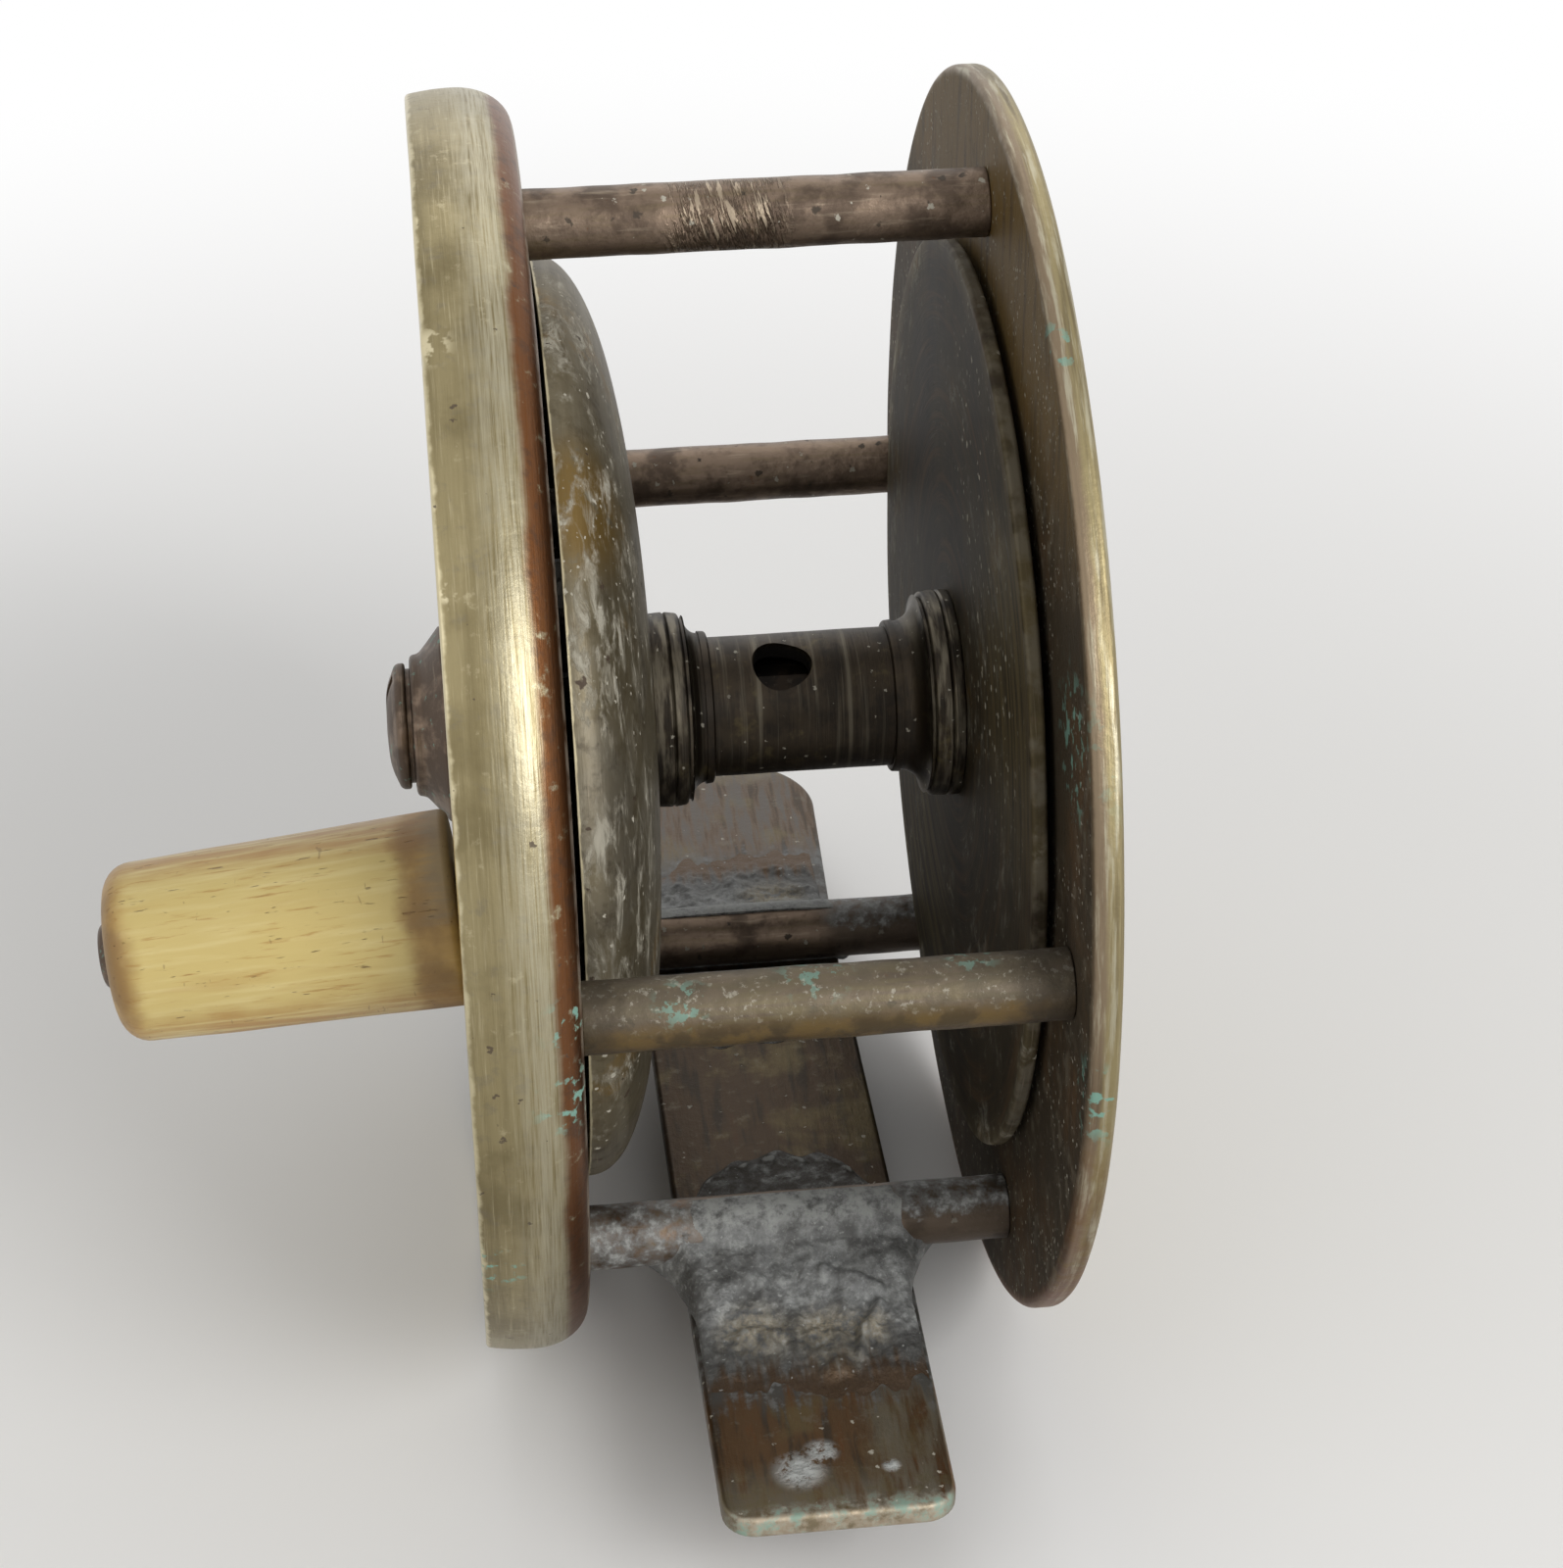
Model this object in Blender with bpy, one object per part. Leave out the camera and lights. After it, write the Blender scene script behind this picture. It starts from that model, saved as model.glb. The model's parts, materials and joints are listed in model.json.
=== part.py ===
"""Brass plate-wind fly reel: a fixed frame of two plates, five pillars and a soldered foot, a spool
turned by a plate with a bone handle, and a click check in the hollow behind the spool's domed flange.

Metres, +Z up. The origin is on the underside of the foot, half way between the plates and straight
below the spindle. +X runs along the spindle from the handle side to the back plate, and the foot
runs along Y, with its filed end at -Y.
"""

import math

import bmesh
import bpy

MM = 0.001

# Fits: between seated pieces, between turning pieces, and how far a cutter runs past a face.
SEAT_GAP = 0.3 * MM
RUN_GAP = 0.3 * MM
CUT_PAST = 1.0 * MM

# Facets round a disc, round a turned body and round a pin, and the angle from which an edge is sharp.
DISC_SEGMENTS = 60
BODY_SEGMENTS = 30
PIN_SEGMENTS = 16
SHARP_ANGLE = math.radians(32.0)

# Spool: a domed front flange, a flat back flange and a barrel with two turned collars.
FLANGE_RADIUS = 28.1 * MM
FRONT_FLANGE_CLEARANCE = 0.6 * MM
FRONT_FLANGE_SHEET = 0.9 * MM
DOME_ROOM = 1.5 * MM
DOME_FULLNESS = 2.6
DOME_SHOULDER = 2.4
DOME_FLAT_LIP = 3.0 * MM
BACK_FLANGE_CLEARANCE = 0.5 * MM
BACK_FLANGE_THICKNESS = 0.9 * MM
BACK_FLANGE_EDGE = 0.2 * MM
BARREL_RADIUS = 4.3 * MM
COLLAR_LIP = 0.4 * MM
FRONT_COLLAR_RISE = 1.7 * MM
FRONT_COLLAR_LENGTH = 1.8 * MM
FRONT_COLLAR_COVE = 1.4 * MM
BACK_COLLAR_RISE = 2.1 * MM
BACK_COLLAR_LENGTH = 1.6 * MM
BACK_COLLAR_COVE = 1.9 * MM
COLLAR_GROOVE = 0.3 * MM
LINE_HOLE_RADIUS = 1.6 * MM
LINE_HOLE_OFFSET = 1.2 * MM
LINE_HOLE_ANGLE = math.radians(63.0)

# Frame: the front plate is a pressed dish that opens away from the spool, the back plate is flat.
PLATE_GAP = 26.6 * MM
PLATE_MARGIN = 5.9 * MM
DISH_SHEET = 1.2 * MM
DISH_CORNER = 2.2 * MM
DISH_EDGE_BREAK = 0.15 * MM
BACK_PLATE_THICKNESS = 1.7 * MM
BACK_PLATE_EDGE = 0.45 * MM

# Pillars: one on top, one on each side, and two that carry the foot.
PILLAR_RADIUS = 2.0 * MM
PILLAR_CLEARANCE = 2.1 * MM
PILLAR_SHOULDER = 0.7 * MM
RIVET_HEAD_LIP = 0.9 * MM
RIVET_HEAD_HEIGHT = 0.7 * MM
FOOT_PILLAR_ANGLE = math.radians(30.0)
SCREW_SHANK_RADIUS = 0.9 * MM
SCREW_HEAD_LIP = 1.4 * MM
SCREW_HEAD_HEIGHT = 0.45 * MM
SCREW_SLOT_WIDTH = 0.7 * MM
SCREW_SLOT_DEPTH = 0.3 * MM
SCREW_BITE = 4.0 * MM

# Foot: a flat strip whose near end is filed square and whose far end is wider and round.
FOOT_THICKNESS = 1.4 * MM
FOOT_WIDTH = 14.0 * MM
FOOT_NEAR_WIDTH = 13.5 * MM
FOOT_FAR_WIDTH = 15.6 * MM
FOOT_NEAR_REACH = 39.6 * MM
FOOT_FAR_REACH = 43.3 * MM
FOOT_NEAR_CORNER = 1.9 * MM
FOOT_FAR_CORNER = 6.6 * MM
FOOT_EDGE_BREAK = 0.25 * MM
FOOT_EDGE_ANGLE = math.radians(60.0)

# Solder: a mass on each foot pillar that runs out along the foot in a tongue and flares along the pillar.
SOLDER_FLARE = 4.3 * MM
SOLDER_FLARE_REACH = 6.0 * MM
SOLDER_TONGUE = 4.0 * MM
SOLDER_FILM = 0.45 * MM
SOLDER_TOE = 0.75 * MM
SOLDER_CREST = 3.6 * MM
SOLDER_WAIST = 0.5
SOLDER_WAIST_REACH = 1.6 * MM
SOLDER_INSET = 0.15 * MM

# Spindle, with a bearing through each plate.
SPINDLE_RADIUS = 2.7 * MM
JOURNAL_RADIUS = 2.3 * MM
SQUARE_WIDTH = 3.2 * MM
BEARING_WALL = 1.1 * MM
BEARING_LIP = 2.9 * MM
BEARING_FLANGE_THICKNESS = 0.9 * MM
BEARING_CAP_WALL = 1.5 * MM
BEARING_CAP_DEPTH = 1.6 * MM
BEARING_END_PLAY = 0.6 * MM

# Winding plate, its boss and the slotted screw that holds both on the spindle.
WINDER_THICKNESS = 1.6 * MM
WINDER_SETBACK = 1.2 * MM
WINDER_RIM_GAP = 0.6 * MM
WINDER_RUN_GAP = 0.9 * MM
WINDER_EDGE = 0.3 * MM
BOSS_RADIUS = 6.3 * MM
BOSS_TOP_RADIUS = 4.3 * MM
BOSS_WALL_HEIGHT = 0.8 * MM
BOSS_CONE_HEIGHT = 2.1 * MM
SPINDLE_SCREW_LIP = 3.3 * MM
SPINDLE_SCREW_WALL = 0.3 * MM
SPINDLE_SCREW_CROWN = 1.0 * MM
SPINDLE_SCREW_SHANK = 0.9 * MM
SPINDLE_SCREW_BITE = 5.0 * MM
SPINDLE_SCREW_SLOT_WIDTH = 0.8 * MM
SPINDLE_SCREW_SLOT_DEPTH = 0.6 * MM

# Handle: a tapered bone knob on a riveted pin, which leans a little with wear.
HANDLE_INSET = 10.3 * MM
HANDLE_ANGLE = math.radians(7.9)
HANDLE_LEAN = math.radians(5.0)
HANDLE_LENGTH = 18.8 * MM
HANDLE_BASE_RADIUS = 5.4 * MM
HANDLE_TIP_RADIUS = 4.85 * MM
HANDLE_TIP_ROUND = 2.0 * MM
HANDLE_BASE_ROUND = 0.5 * MM
PIN_RADIUS = 1.4 * MM
PIN_COLLAR_LIP = 1.3 * MM
PIN_COLLAR_HEIGHT = 0.5 * MM
PIN_HEAD_LIP = 0.3 * MM
PIN_HEAD_HEIGHT = 0.4 * MM

# Click check: a toothed wheel on the spool and a sprung pawl on the front plate.
CHECK_TEETH = 24
CHECK_TIP_RADIUS = 8.0 * MM
CHECK_TOOTH_DEPTH = 1.2 * MM
CHECK_TOOTH_FLAT = 0.3 * MM
CHECK_WHEEL_THICKNESS = 1.3 * MM
CHECK_STANDOFF = 1.9 * MM
CHECK_HUB_WALL = 0.9 * MM
PAWL_LENGTH = 11.0 * MM
PAWL_THICKNESS = 1.1 * MM
PAWL_EYE_WALL = 0.9 * MM
PAWL_ARM_HEIGHT = 1.5 * MM
PAWL_ARM_GAP = 0.45 * MM
PAWL_NOSE_GAP = 0.5 * MM
PAWL_NOSE_FLAT = 0.2 * MM
PAWL_OVERHANG = 1.3 * MM
STUD_RADIUS = 1.1 * MM
STUD_SHOULDER = 0.8 * MM
STUD_HEAD_HEIGHT = 0.5 * MM
STUD_TENON_RADIUS = 0.9 * MM
SPRING_LEAF = 0.45 * MM
SPRING_WIDTH = 1.1 * MM
SPRING_POST_RISE = 3.5 * MM
SPRING_POST_SIDE = 9.0 * MM
SPRING_TIP_REACH = 1.0 * MM
SPRING_BOW = 0.45

# Radii and circles that follow from the sizes above.
PILLAR_CIRCLE = FLANGE_RADIUS + PILLAR_CLEARANCE + PILLAR_RADIUS
PLATE_RADIUS = PILLAR_CIRCLE + PLATE_MARGIN
TENON_RADIUS = PILLAR_RADIUS - PILLAR_SHOULDER
BEARING_BORE = JOURNAL_RADIUS + RUN_GAP
BEARING_SLEEVE = BEARING_BORE + BEARING_WALL
SPINDLE_HOLE = SPINDLE_RADIUS + SEAT_GAP
SQUARE_CORNER = SQUARE_WIDTH / math.sqrt(2.0)
DISH_WALL_RADIUS = PLATE_RADIUS - DISH_SHEET
WINDER_RADIUS = DISH_WALL_RADIUS - WINDER_RIM_GAP
HANDLE_CIRCLE = WINDER_RADIUS - HANDLE_INSET
SOLDER_REACH = PILLAR_RADIUS + SOLDER_FLARE_REACH + SOLDER_TONGUE
CHECK_ROOT_RADIUS = CHECK_TIP_RADIUS - CHECK_TOOTH_DEPTH

# Planes across the spindle on the handle side.
FRONT_X = -PLATE_GAP / 2
FLOOR_X = FRONT_X - DISH_SHEET
WINDER_BACK_X = FLOOR_X - SEAT_GAP - max(BEARING_FLANGE_THICKNESS, RIVET_HEAD_HEIGHT) - WINDER_RUN_GAP
WINDER_X = WINDER_BACK_X - WINDER_THICKNESS
RIM_X = WINDER_X - WINDER_SETBACK
BOSS_X = WINDER_X - SEAT_GAP
BOSS_TOP_X = BOSS_X - BOSS_WALL_HEIGHT - BOSS_CONE_HEIGHT

# Planes across the spindle from the click check to the back plate.
CHECK_X = FRONT_X + CHECK_STANDOFF
CHECK_BACK_X = CHECK_X + CHECK_WHEEL_THICKNESS
CHECK_MIDDLE_X = (CHECK_X + CHECK_BACK_X) / 2
STUD_TOP_X = CHECK_MIDDLE_X + PAWL_THICKNESS / 2 + RUN_GAP + STUD_HEAD_HEIGHT
DOME_RIM_X = FRONT_X + FRONT_FLANGE_CLEARANCE
CROWN_INNER_X = max(STUD_TOP_X, CHECK_BACK_X) + DOME_ROOM
CROWN_X = CROWN_INNER_X + FRONT_FLANGE_SHEET
BACK_X = PLATE_GAP / 2
BACK_OUTER_X = BACK_X + BACK_PLATE_THICKNESS
BACK_FLANGE_OUTER_X = BACK_X - BACK_FLANGE_CLEARANCE
BACK_FLANGE_X = BACK_FLANGE_OUTER_X - BACK_FLANGE_THICKNESS
BARREL_START_X = CROWN_X + SEAT_GAP
BARREL_END_X = BACK_FLANGE_X - SEAT_GAP
BEARING_DEPTH_X = BACK_OUTER_X + BEARING_CAP_DEPTH

# The spindle's height over the foot's underside, and places on the front plate (y, z).
AXIS_Z = FOOT_THICKNESS + SEAT_GAP + PILLAR_RADIUS + PILLAR_CIRCLE * math.cos(FOOT_PILLAR_ANGLE)
PAWL_TOP = PAWL_ARM_GAP + PAWL_ARM_HEIGHT
PAWL_PLACE = (PAWL_LENGTH, CHECK_TIP_RADIUS)
SPRING_PLACE = (-SPRING_POST_SIDE, CHECK_TIP_RADIUS + PAWL_TOP + SPRING_POST_RISE)

# Finishes: name, linear colour, roughness, metallic.
AGED_BRASS = ("aged_brass", (0.24, 0.19, 0.085), 0.42, 1.0)
DARK_BRASS = ("dark_brass", (0.115, 0.085, 0.045), 0.5, 1.0)
TARNISHED_BRASS = ("tarnished_brass", (0.14, 0.115, 0.072), 0.5, 1.0)
BROWN_BRONZE = ("brown_bronze", (0.13, 0.085, 0.06), 0.45, 1.0)
LEAD_SOLDER = ("lead_solder", (0.2, 0.2, 0.2), 0.6, 0.8)
OLD_STEEL = ("old_steel", (0.22, 0.21, 0.2), 0.4, 1.0)
YELLOWED_BONE = ("yellowed_bone", (0.55, 0.41, 0.16), 0.45, 0.0)


def clear_scene():
    """Leave nothing in the scene."""
    for old in list(bpy.data.objects):
        bpy.data.objects.remove(old, do_unlink=True)


def finish(recipe):
    """The Principled material of one finish, made once."""
    name, colour, roughness, metallic = recipe
    material = bpy.data.materials.get(name)
    if material is None:
        material = bpy.data.materials.new(name)
        material.use_nodes = True
        shader = material.node_tree.nodes["Principled BSDF"]
        shader.inputs["Base Color"].default_value = (*colour, 1.0)
        shader.inputs["Roughness"].default_value = roughness
        shader.inputs["Metallic"].default_value = metallic
        material.diffuse_color = (*colour, 1.0)
    return material


def axis_empty(name, parent=None, location=(0.0, 0.0, 0.0), rotation=(0.0, 0.0, 0.0)):
    """An empty on an axis, which carries the pieces that share that axis."""
    empty = bpy.data.objects.new(name, None)
    empty.empty_display_size = 5 * MM
    empty.parent = parent
    empty.location = location
    empty.rotation_euler = rotation
    bpy.context.scene.collection.objects.link(empty)
    return empty


def add_object(name, form, recipe, parent, location=(0.0, 0.0, 0.0)):
    """Turn a bmesh into a named, smooth shaded object with its own finish."""
    bmesh.ops.remove_doubles(form, verts=form.verts, dist=MM / 1000)
    bmesh.ops.recalc_face_normals(form, faces=form.faces)
    mesh = bpy.data.meshes.new(name)
    form.to_mesh(mesh)
    form.free()
    mesh.shade_smooth()
    mesh.set_sharp_from_angle(angle=SHARP_ANGLE)
    if recipe:
        mesh.materials.append(finish(recipe))
    piece = bpy.data.objects.new(name, mesh)
    piece.parent = parent
    piece.location = location
    bpy.context.scene.collection.objects.link(piece)
    return piece


def arc(centre, radius, start_deg, end_deg, steps):
    """Points of an arc round a centre, angles counted from the first axis to the second."""
    points = []
    for step in range(steps + 1):
        angle = math.radians(start_deg + (end_deg - start_deg) * step / steps)
        points.append((centre[0] + radius * math.cos(angle), centre[1] + radius * math.sin(angle)))
    return points


def cove(start, end, steps):
    """A hollow curve that leaves start square to the axis and meets end along it."""
    points = []
    for step in range(steps + 1):
        angle = math.pi / 2 * step / steps
        x = start[0] + (end[0] - start[0]) * (1 - math.cos(angle))
        points.append((x, start[1] + (end[1] - start[1]) * math.sin(angle)))
    return points


def dome(base, height, radius, steps):
    """A low domed end from its edge at base to the axis; a negative height points to -X."""
    points = []
    for step in range(steps):
        angle = math.pi / 2 * step / steps
        points.append((base + height * math.sin(angle), radius * math.cos(angle)))
    return points + [(base + height, 0.0)]


def rod(low, high, radius):
    """The outline of a plain round rod."""
    return [(high, 0.0), (high, radius), (low, radius), (low, 0.0)]


def add_turned(form, outline, segments, place=(0.0, 0.0)):
    """Spin an outline of (x, radius) points about an axis along X through place (y, z).

    An outline that starts and ends on the axis is left open there; any other is closed.
    """
    points = [form.verts.new((x, place[0], place[1] + radius)) for x, radius in outline]
    edges = [form.edges.new(pair) for pair in zip(points, points[1:])]
    if outline[0][1] > 0.0:
        edges.append(form.edges.new((points[-1], points[0])))
    bmesh.ops.spin(
        form,
        geom=points + edges,
        cent=(0.0, place[0], place[1]),
        axis=(1.0, 0.0, 0.0),
        angle=2 * math.pi,
        steps=segments,
        use_merge=True,
    )


def turned(name, outline, segments, recipe, parent, location=(0.0, 0.0, 0.0)):
    """A turned piece on its own X axis."""
    form = bmesh.new()
    add_turned(form, outline, segments)
    return add_object(name, form, recipe, parent, location)


def add_prism(form, outline, axis, low, high):
    """Extrude an outline along X (points are y, z) or along Z (points are x, y)."""
    if axis == "X":
        corners = [form.verts.new((low, first, second)) for first, second in outline]
        travel = (high - low, 0.0, 0.0)
    else:
        corners = [form.verts.new((first, second, low)) for first, second in outline]
        travel = (0.0, 0.0, high - low)
    base = form.faces.new(corners)
    grown = bmesh.ops.extrude_face_region(form, geom=[base], use_keep_orig=True)["geom"]
    top = [item for item in grown if isinstance(item, bmesh.types.BMVert)]
    bmesh.ops.translate(form, verts=top, vec=travel)


def add_box(form, low, high):
    """A box between two opposite corners."""
    outline = [(low[0], low[1]), (high[0], low[1]), (high[0], high[1]), (low[0], high[1])]
    add_prism(form, outline, "Z", low[2], high[2])


def shape(piece, operation, form, parent):
    """Cut, join or trim a piece with a hidden helper body."""
    helper = add_object(f"{piece.name}_{operation.lower()}_helper", form, None, parent)
    helper.hide_render = True
    helper.display_type = "WIRE"
    modifier = piece.modifiers.new(operation.title(), "BOOLEAN")
    modifier.operation = operation
    modifier.solver = "EXACT"
    modifier.object = helper


def pillar_places():
    """Each pillar's name and its place (y, z) round the spindle."""
    foot_y = PILLAR_CIRCLE * math.sin(FOOT_PILLAR_ANGLE)
    foot_z = -PILLAR_CIRCLE * math.cos(FOOT_PILLAR_ANGLE)
    return {
        "top_pillar": (0.0, PILLAR_CIRCLE),
        "near_pillar": (-PILLAR_CIRCLE, 0.0),
        "far_pillar": (PILLAR_CIRCLE, 0.0),
        "near_foot_pillar": (-foot_y, foot_z),
        "far_foot_pillar": (foot_y, foot_z),
    }


def make_front_plate(frame):
    """The dish: flat towards the spool, with a turned-up wall round the winding plate."""
    inner_corner = max(DISH_CORNER - DISH_SHEET, DISH_EDGE_BREAK)
    bore = BEARING_SLEEVE + SEAT_GAP
    outline = [(FRONT_X, bore)]
    outline += arc((FRONT_X - DISH_CORNER, PLATE_RADIUS - DISH_CORNER), DISH_CORNER, 0, 90, 5)
    outline += [(RIM_X + DISH_EDGE_BREAK, PLATE_RADIUS), (RIM_X, PLATE_RADIUS - DISH_EDGE_BREAK)]
    outline += [(RIM_X, DISH_WALL_RADIUS)]
    outline += arc((FLOOR_X - inner_corner, DISH_WALL_RADIUS - inner_corner), inner_corner, 90, 0, 2)
    outline += [(FLOOR_X, bore)]
    plate = turned("front_plate", outline, DISC_SEGMENTS, AGED_BRASS, frame)
    holes = bmesh.new()
    low = FLOOR_X - CUT_PAST
    high = FRONT_X + CUT_PAST
    for place in pillar_places().values():
        add_turned(holes, rod(low, high, TENON_RADIUS + SEAT_GAP), PIN_SEGMENTS, place)
    for place in (PAWL_PLACE, SPRING_PLACE):
        add_turned(holes, rod(low, high, STUD_TENON_RADIUS + SEAT_GAP), PIN_SEGMENTS, place)
    shape(plate, "DIFFERENCE", holes, frame)


def make_back_plate(frame):
    """A flat disc with a softened edge, a bearing hole and a screw hole at each pillar."""
    bore = BEARING_SLEEVE + SEAT_GAP
    edge = min(BACK_PLATE_EDGE, BACK_PLATE_THICKNESS / 2 - BACK_PLATE_EDGE / 4)
    outline = [(BACK_X, bore), (BACK_OUTER_X, bore)]
    outline += arc((BACK_OUTER_X - edge, PLATE_RADIUS - edge), edge, 0, 90, 2)
    outline += arc((BACK_X + edge, PLATE_RADIUS - edge), edge, 90, 180, 2)
    plate = turned("back_plate", outline, DISC_SEGMENTS, DARK_BRASS, frame)
    holes = bmesh.new()
    hole = rod(BACK_X - CUT_PAST, BACK_OUTER_X + CUT_PAST, SCREW_SHANK_RADIUS + SEAT_GAP)
    for place in pillar_places().values():
        add_turned(holes, hole, PIN_SEGMENTS, place)
    shape(plate, "DIFFERENCE", holes, frame)


def make_pillars(frame):
    """Five like pillars: riveted into the dish, drilled for a screw at the back plate."""
    shoulder = FRONT_X + SEAT_GAP
    back_end = BACK_X - SEAT_GAP
    head = FLOOR_X - SEAT_GAP
    hole = SCREW_SHANK_RADIUS + SEAT_GAP
    hole_end = back_end - SCREW_BITE - SEAT_GAP
    outline = [(hole_end, 0.0), (hole_end, hole), (back_end, hole), (back_end, PILLAR_RADIUS)]
    outline += [(shoulder, PILLAR_RADIUS), (shoulder, TENON_RADIUS), (head, TENON_RADIUS)]
    outline += dome(head, -RIVET_HEAD_HEIGHT, TENON_RADIUS + RIVET_HEAD_LIP, 2)
    for name, (y, z) in pillar_places().items():
        turned(name, outline, PIN_SEGMENTS, BROWN_BRONZE, frame, (0.0, y, z))


def make_pillar_screws(frame):
    """The low slotted screws that hold the back plate to the pillars."""
    head_radius = SCREW_SHANK_RADIUS + SCREW_HEAD_LIP
    seat = BACK_OUTER_X + SEAT_GAP
    top = seat + SCREW_HEAD_HEIGHT
    tip = BACK_X - SEAT_GAP - SCREW_BITE
    screw = [(top, 0.0), (top, head_radius), (seat, head_radius)]
    screw += [(seat, SCREW_SHANK_RADIUS), (tip, SCREW_SHANK_RADIUS), (tip, 0.0)]
    across = head_radius + CUT_PAST
    half = SCREW_SLOT_WIDTH / 2
    for name, (y, z) in pillar_places().items():
        piece = turned(f"{name}_screw", screw, PIN_SEGMENTS, BROWN_BRONZE, frame, (0.0, y, z))
        slot = bmesh.new()
        add_box(slot, (top - SCREW_SLOT_DEPTH, y - across, z - half), (top + CUT_PAST, y + across, z + half))
        shape(piece, "DIFFERENCE", slot, frame)


def make_foot():
    """The strip: parallel between the pillars, filed square at one end, wider and round at the other."""
    near_corner = min(FOOT_NEAR_CORNER, FOOT_NEAR_WIDTH / 2)
    far_corner = min(FOOT_FAR_CORNER, FOOT_FAR_WIDTH / 2)
    pillar_y = PILLAR_CIRCLE * math.sin(FOOT_PILLAR_ANGLE)
    right = arc((FOOT_NEAR_WIDTH / 2 - near_corner, near_corner - FOOT_NEAR_REACH), near_corner, -90, 0, 4)
    right += [(FOOT_WIDTH / 2, -pillar_y), (FOOT_WIDTH / 2, pillar_y)]
    right += arc((FOOT_FAR_WIDTH / 2 - far_corner, FOOT_FAR_REACH - far_corner), far_corner, 0, 90, 7)
    outline = right + [(-x, y) for x, y in reversed(right)]
    form = bmesh.new()
    add_prism(form, outline, "Z", 0.0, FOOT_THICKNESS)
    foot = add_object("reel_foot", form, DARK_BRASS, None)
    bevel = foot.modifiers.new("Edge", "BEVEL")
    bevel.width = FOOT_EDGE_BREAK
    bevel.segments = 1
    bevel.limit_method = "ANGLE"
    bevel.angle_limit = FOOT_EDGE_ANGLE


def make_solder(name, frame, place, outward):
    """Solder in the corner outside one foot pillar; outward is the sign of that end of the foot in Y."""
    foot_top = FOOT_THICKNESS + SEAT_GAP - AXIS_Z
    half_width = FOOT_WIDTH / 2 - SOLDER_INSET
    flare = min(SOLDER_FLARE, PLATE_GAP / 2 - SEAT_GAP - half_width)
    bend = [
        (half_width + flare * across, PILLAR_RADIUS + SOLDER_FLARE_REACH * along)
        for across, along in arc((1.0, 1.0), 1.0, 180, 255, 4)
    ]
    right = [(half_width, SOLDER_REACH)] + bend + [(bend[-1][0], 0.0)]
    both = right + [(-x, reach) for x, reach in reversed(right)]
    plan = [(x, place[0] + outward * reach) for x, reach in both]
    form = bmesh.new()
    add_prism(form, plan, "Z", foot_top - CUT_PAST, foot_top + SOLDER_CREST + CUT_PAST)
    solder = add_object(name, form, LEAD_SOLDER, frame)
    past = half_width + flare + CUT_PAST
    slope = [
        (SOLDER_REACH + CUT_PAST, 0.0),
        (SOLDER_REACH + CUT_PAST, SOLDER_FILM),
        (PILLAR_RADIUS + SOLDER_FLARE_REACH, SOLDER_TOE),
        (PILLAR_RADIUS + SOLDER_WAIST_REACH, SOLDER_CREST * SOLDER_WAIST),
        (PILLAR_RADIUS / 2, SOLDER_CREST),
        (PILLAR_RADIUS / 2, 0.0),
    ]
    section = bmesh.new()
    side = [(place[0] + outward * reach, foot_top + height) for reach, height in slope]
    add_prism(section, side, "X", -past, past)
    shape(solder, "INTERSECT", section, frame)
    channel = bmesh.new()
    add_turned(channel, rod(-past, past, PILLAR_RADIUS + SEAT_GAP), PIN_SEGMENTS, place)
    shape(solder, "DIFFERENCE", channel, frame)


def make_bearings(frame):
    """A flanged bush in the dish and a closed, domed one in the back plate."""
    flange_radius = BEARING_SLEEVE + BEARING_LIP
    seat = FLOOR_X - SEAT_GAP
    step = seat - BEARING_FLANGE_THICKNESS
    front = [(FRONT_X, BEARING_BORE), (FRONT_X, BEARING_SLEEVE), (seat, BEARING_SLEEVE)]
    front += [(seat, flange_radius), (step, flange_radius), (step, BEARING_BORE)]
    turned("front_bearing", front, BODY_SEGMENTS, TARNISHED_BRASS, frame)
    seat = BACK_OUTER_X + SEAT_GAP
    step = seat + BEARING_FLANGE_THICKNESS
    cap_height = max(BEARING_DEPTH_X + BEARING_CAP_WALL - step, BEARING_CAP_WALL)
    back = [(BEARING_DEPTH_X, 0.0), (BEARING_DEPTH_X, BEARING_BORE), (BACK_X, BEARING_BORE)]
    back += [(BACK_X, BEARING_SLEEVE), (seat, BEARING_SLEEVE), (seat, flange_radius), (step, flange_radius)]
    back += dome(step, cap_height, BEARING_SLEEVE + BEARING_CAP_WALL, 4)
    turned("back_bearing", back, BODY_SEGMENTS, TARNISHED_BRASS, frame)


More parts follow.
